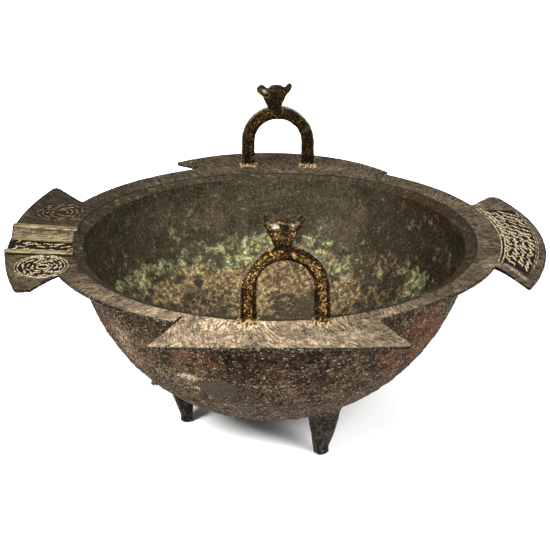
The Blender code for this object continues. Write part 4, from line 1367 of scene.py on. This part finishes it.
def near_roundel(bm):
    """Two rings round strokes, with an almond in the middle."""
    cx, cy, half_x, half_y = NEAR_ROUNDEL
    for out in (0.4, -2.9):
        add_stroke(bm, oval(cx - 0.6, cy, half_x + out, half_y + out - 1.2), 1.2, -0.9, 0.15, closed=True)
    roundel_strokes(bm, (cx, cy, half_x - 4.6, half_y - 5.6), (0.87, 0.65, 0.44), 2.5, -0.1, 3)
    add_stroke(bm, oval(cx + 1, cy, 6.4, 5.6, 36), 1.7, -1, -0.1, closed=True)


def far_roundel(bm):
    cx, cy, half_x, half_y = FAR_ROUNDEL
    roundel_strokes(bm, (cx + 1.5, cy, half_x, half_y), (0.9, 0.7, 0.5, 0.3), 2.1, -0.2, 4)


def fan_panel(bm):
    fan_strokes(bm)
    panel_borders(bm)


def trough_strokes(bm):
    """Wavy strokes along the channel's floor, beside a line."""
    rng = random.Random(9)
    floor = -TROUGH_FLOOR

    def place(x, share):
        return (x, channel_y(x, share, 0))
    outer = TROUGH_OUTER + 6
    inner = TROUGH_INNER - 2
    path = [place(outer + (inner - outer) * i / 20, 0.13) for i in range(21)]
    add_stroke(bm, path, 1.9, floor - 0.4, floor + 0.7, taper=0.2)
    for share in (0.26, 0.4, 0.54, 0.68):
        x = outer + rng.uniform(0, 4)
        while x < inner - 9:
            long = rng.uniform(6, 12)
            end = place(x + long, share + rng.uniform(-0.1, 0.14))
            path = bend(place(x, share - 0.05), end, rng.uniform(-0.25, 0.25))
            add_stroke(bm, path, rng.uniform(1.8, 2.7), floor - 0.4, floor + 0.5)
            x += long + rng.uniform(1, 4.5)


def make_ornament():
    light = stroke_material("strokes_bright", (122, 102, 70), (252, 234, 194))
    dull = stroke_material("strokes_dull", (90, 75, 52), (160, 138, 100))
    for name, maker, material in (("roundel_near", near_roundel, light), ("roundel_far", far_roundel, dull),
                                  ("fan_panel", fan_panel, light), ("trough_band", trough_strokes, light)):
        bm = bmesh.new()
        maker(bm)
        finish_piece(add_object(name, bm, material, sharp=30), "bowl_bronze")


def make_stage():
    paper = bpy.data.materials.new("floor_paper")
    paper.use_nodes = True
    shader = paper.node_tree.nodes["Principled BSDF"]
    shader.inputs["Base Color"].default_value = PAPER
    shader.inputs["Roughness"].default_value = PAPER_ROUGH
    bm = bmesh.new()
    bmesh.ops.create_grid(bm, x_segments=1, y_segments=1, size=FLOOR_HALF)
    floor = add_object("floor", bm, paper)
    world = bpy.data.worlds.new("studio")
    world.use_nodes = True
    background = world.node_tree.nodes["Background"]
    background.inputs["Color"].default_value = (1, 1, 1, 1)
    background.inputs["Strength"].default_value = WORLD_LIGHT
    bpy.context.scene.world = world


def add_light(name, kind, direction, energy, **settings):
    data = bpy.data.lights.new(name, kind)
    data.energy = energy
    for key, value in settings.items():
        setattr(data, key, value)
    ob = link_object(name, data)
    ob.rotation_euler = Vector(direction).to_track_quat("-Z", "Y").to_euler()
    return ob


def make_lights():
    for name, at, up, strength, spread in SUNS:
        x, y = polar(math.cos(math.radians(up)), at)
        add_light(name, "SUN", (-x, -y, -math.sin(math.radians(up))), strength, angle=math.radians(spread))
    place = Vector(TOP_LIGHT["place"])
    top = add_light("top", "AREA", Vector(TOP_LIGHT["target"]) - place, TOP_LIGHT["power"],
                    shape="SQUARE", size=TOP_LIGHT["size"])
    top.location = place


def make_camera():
    data = bpy.data.cameras.new("camera")
    data.lens = LENS
    data.sensor_width = SENSOR
    data.clip_end = FAR_CLIP
    camera = link_object("camera", data)
    place = Vector(((CAMERA[0] - MIDDLE[0]) * MM, (CAMERA[1] - MIDDLE[1]) * MM, CAMERA[2] * MM))
    matrix = Matrix.Translation(place)
    for angle, axis in ((CAMERA_YAW, "Z"), (90 - CAMERA_DOWN, "X"), (CAMERA_ROLL, "Z")):
        matrix = matrix @ Matrix.Rotation(math.radians(angle), 4, axis)
    camera.matrix_world = matrix
    bpy.context.scene.camera = camera


def main():
    bpy.context.scene.view_settings.view_transform = "Standard"
    make_camera()
    make_lights()
    make_stage()
    make_bowl()
    make_ornament()
    handle = handle_material()
    foot = foot_material()
    make_handle("handle_front", FRONT_HANDLE, handle)
    make_handle("handle_back", BACK_HANDLE, handle)
    for i, (node, at) in enumerate(FOOT_BEARINGS.items()):
        make_foot(node, at, 31 + 3 * i, foot)


main()
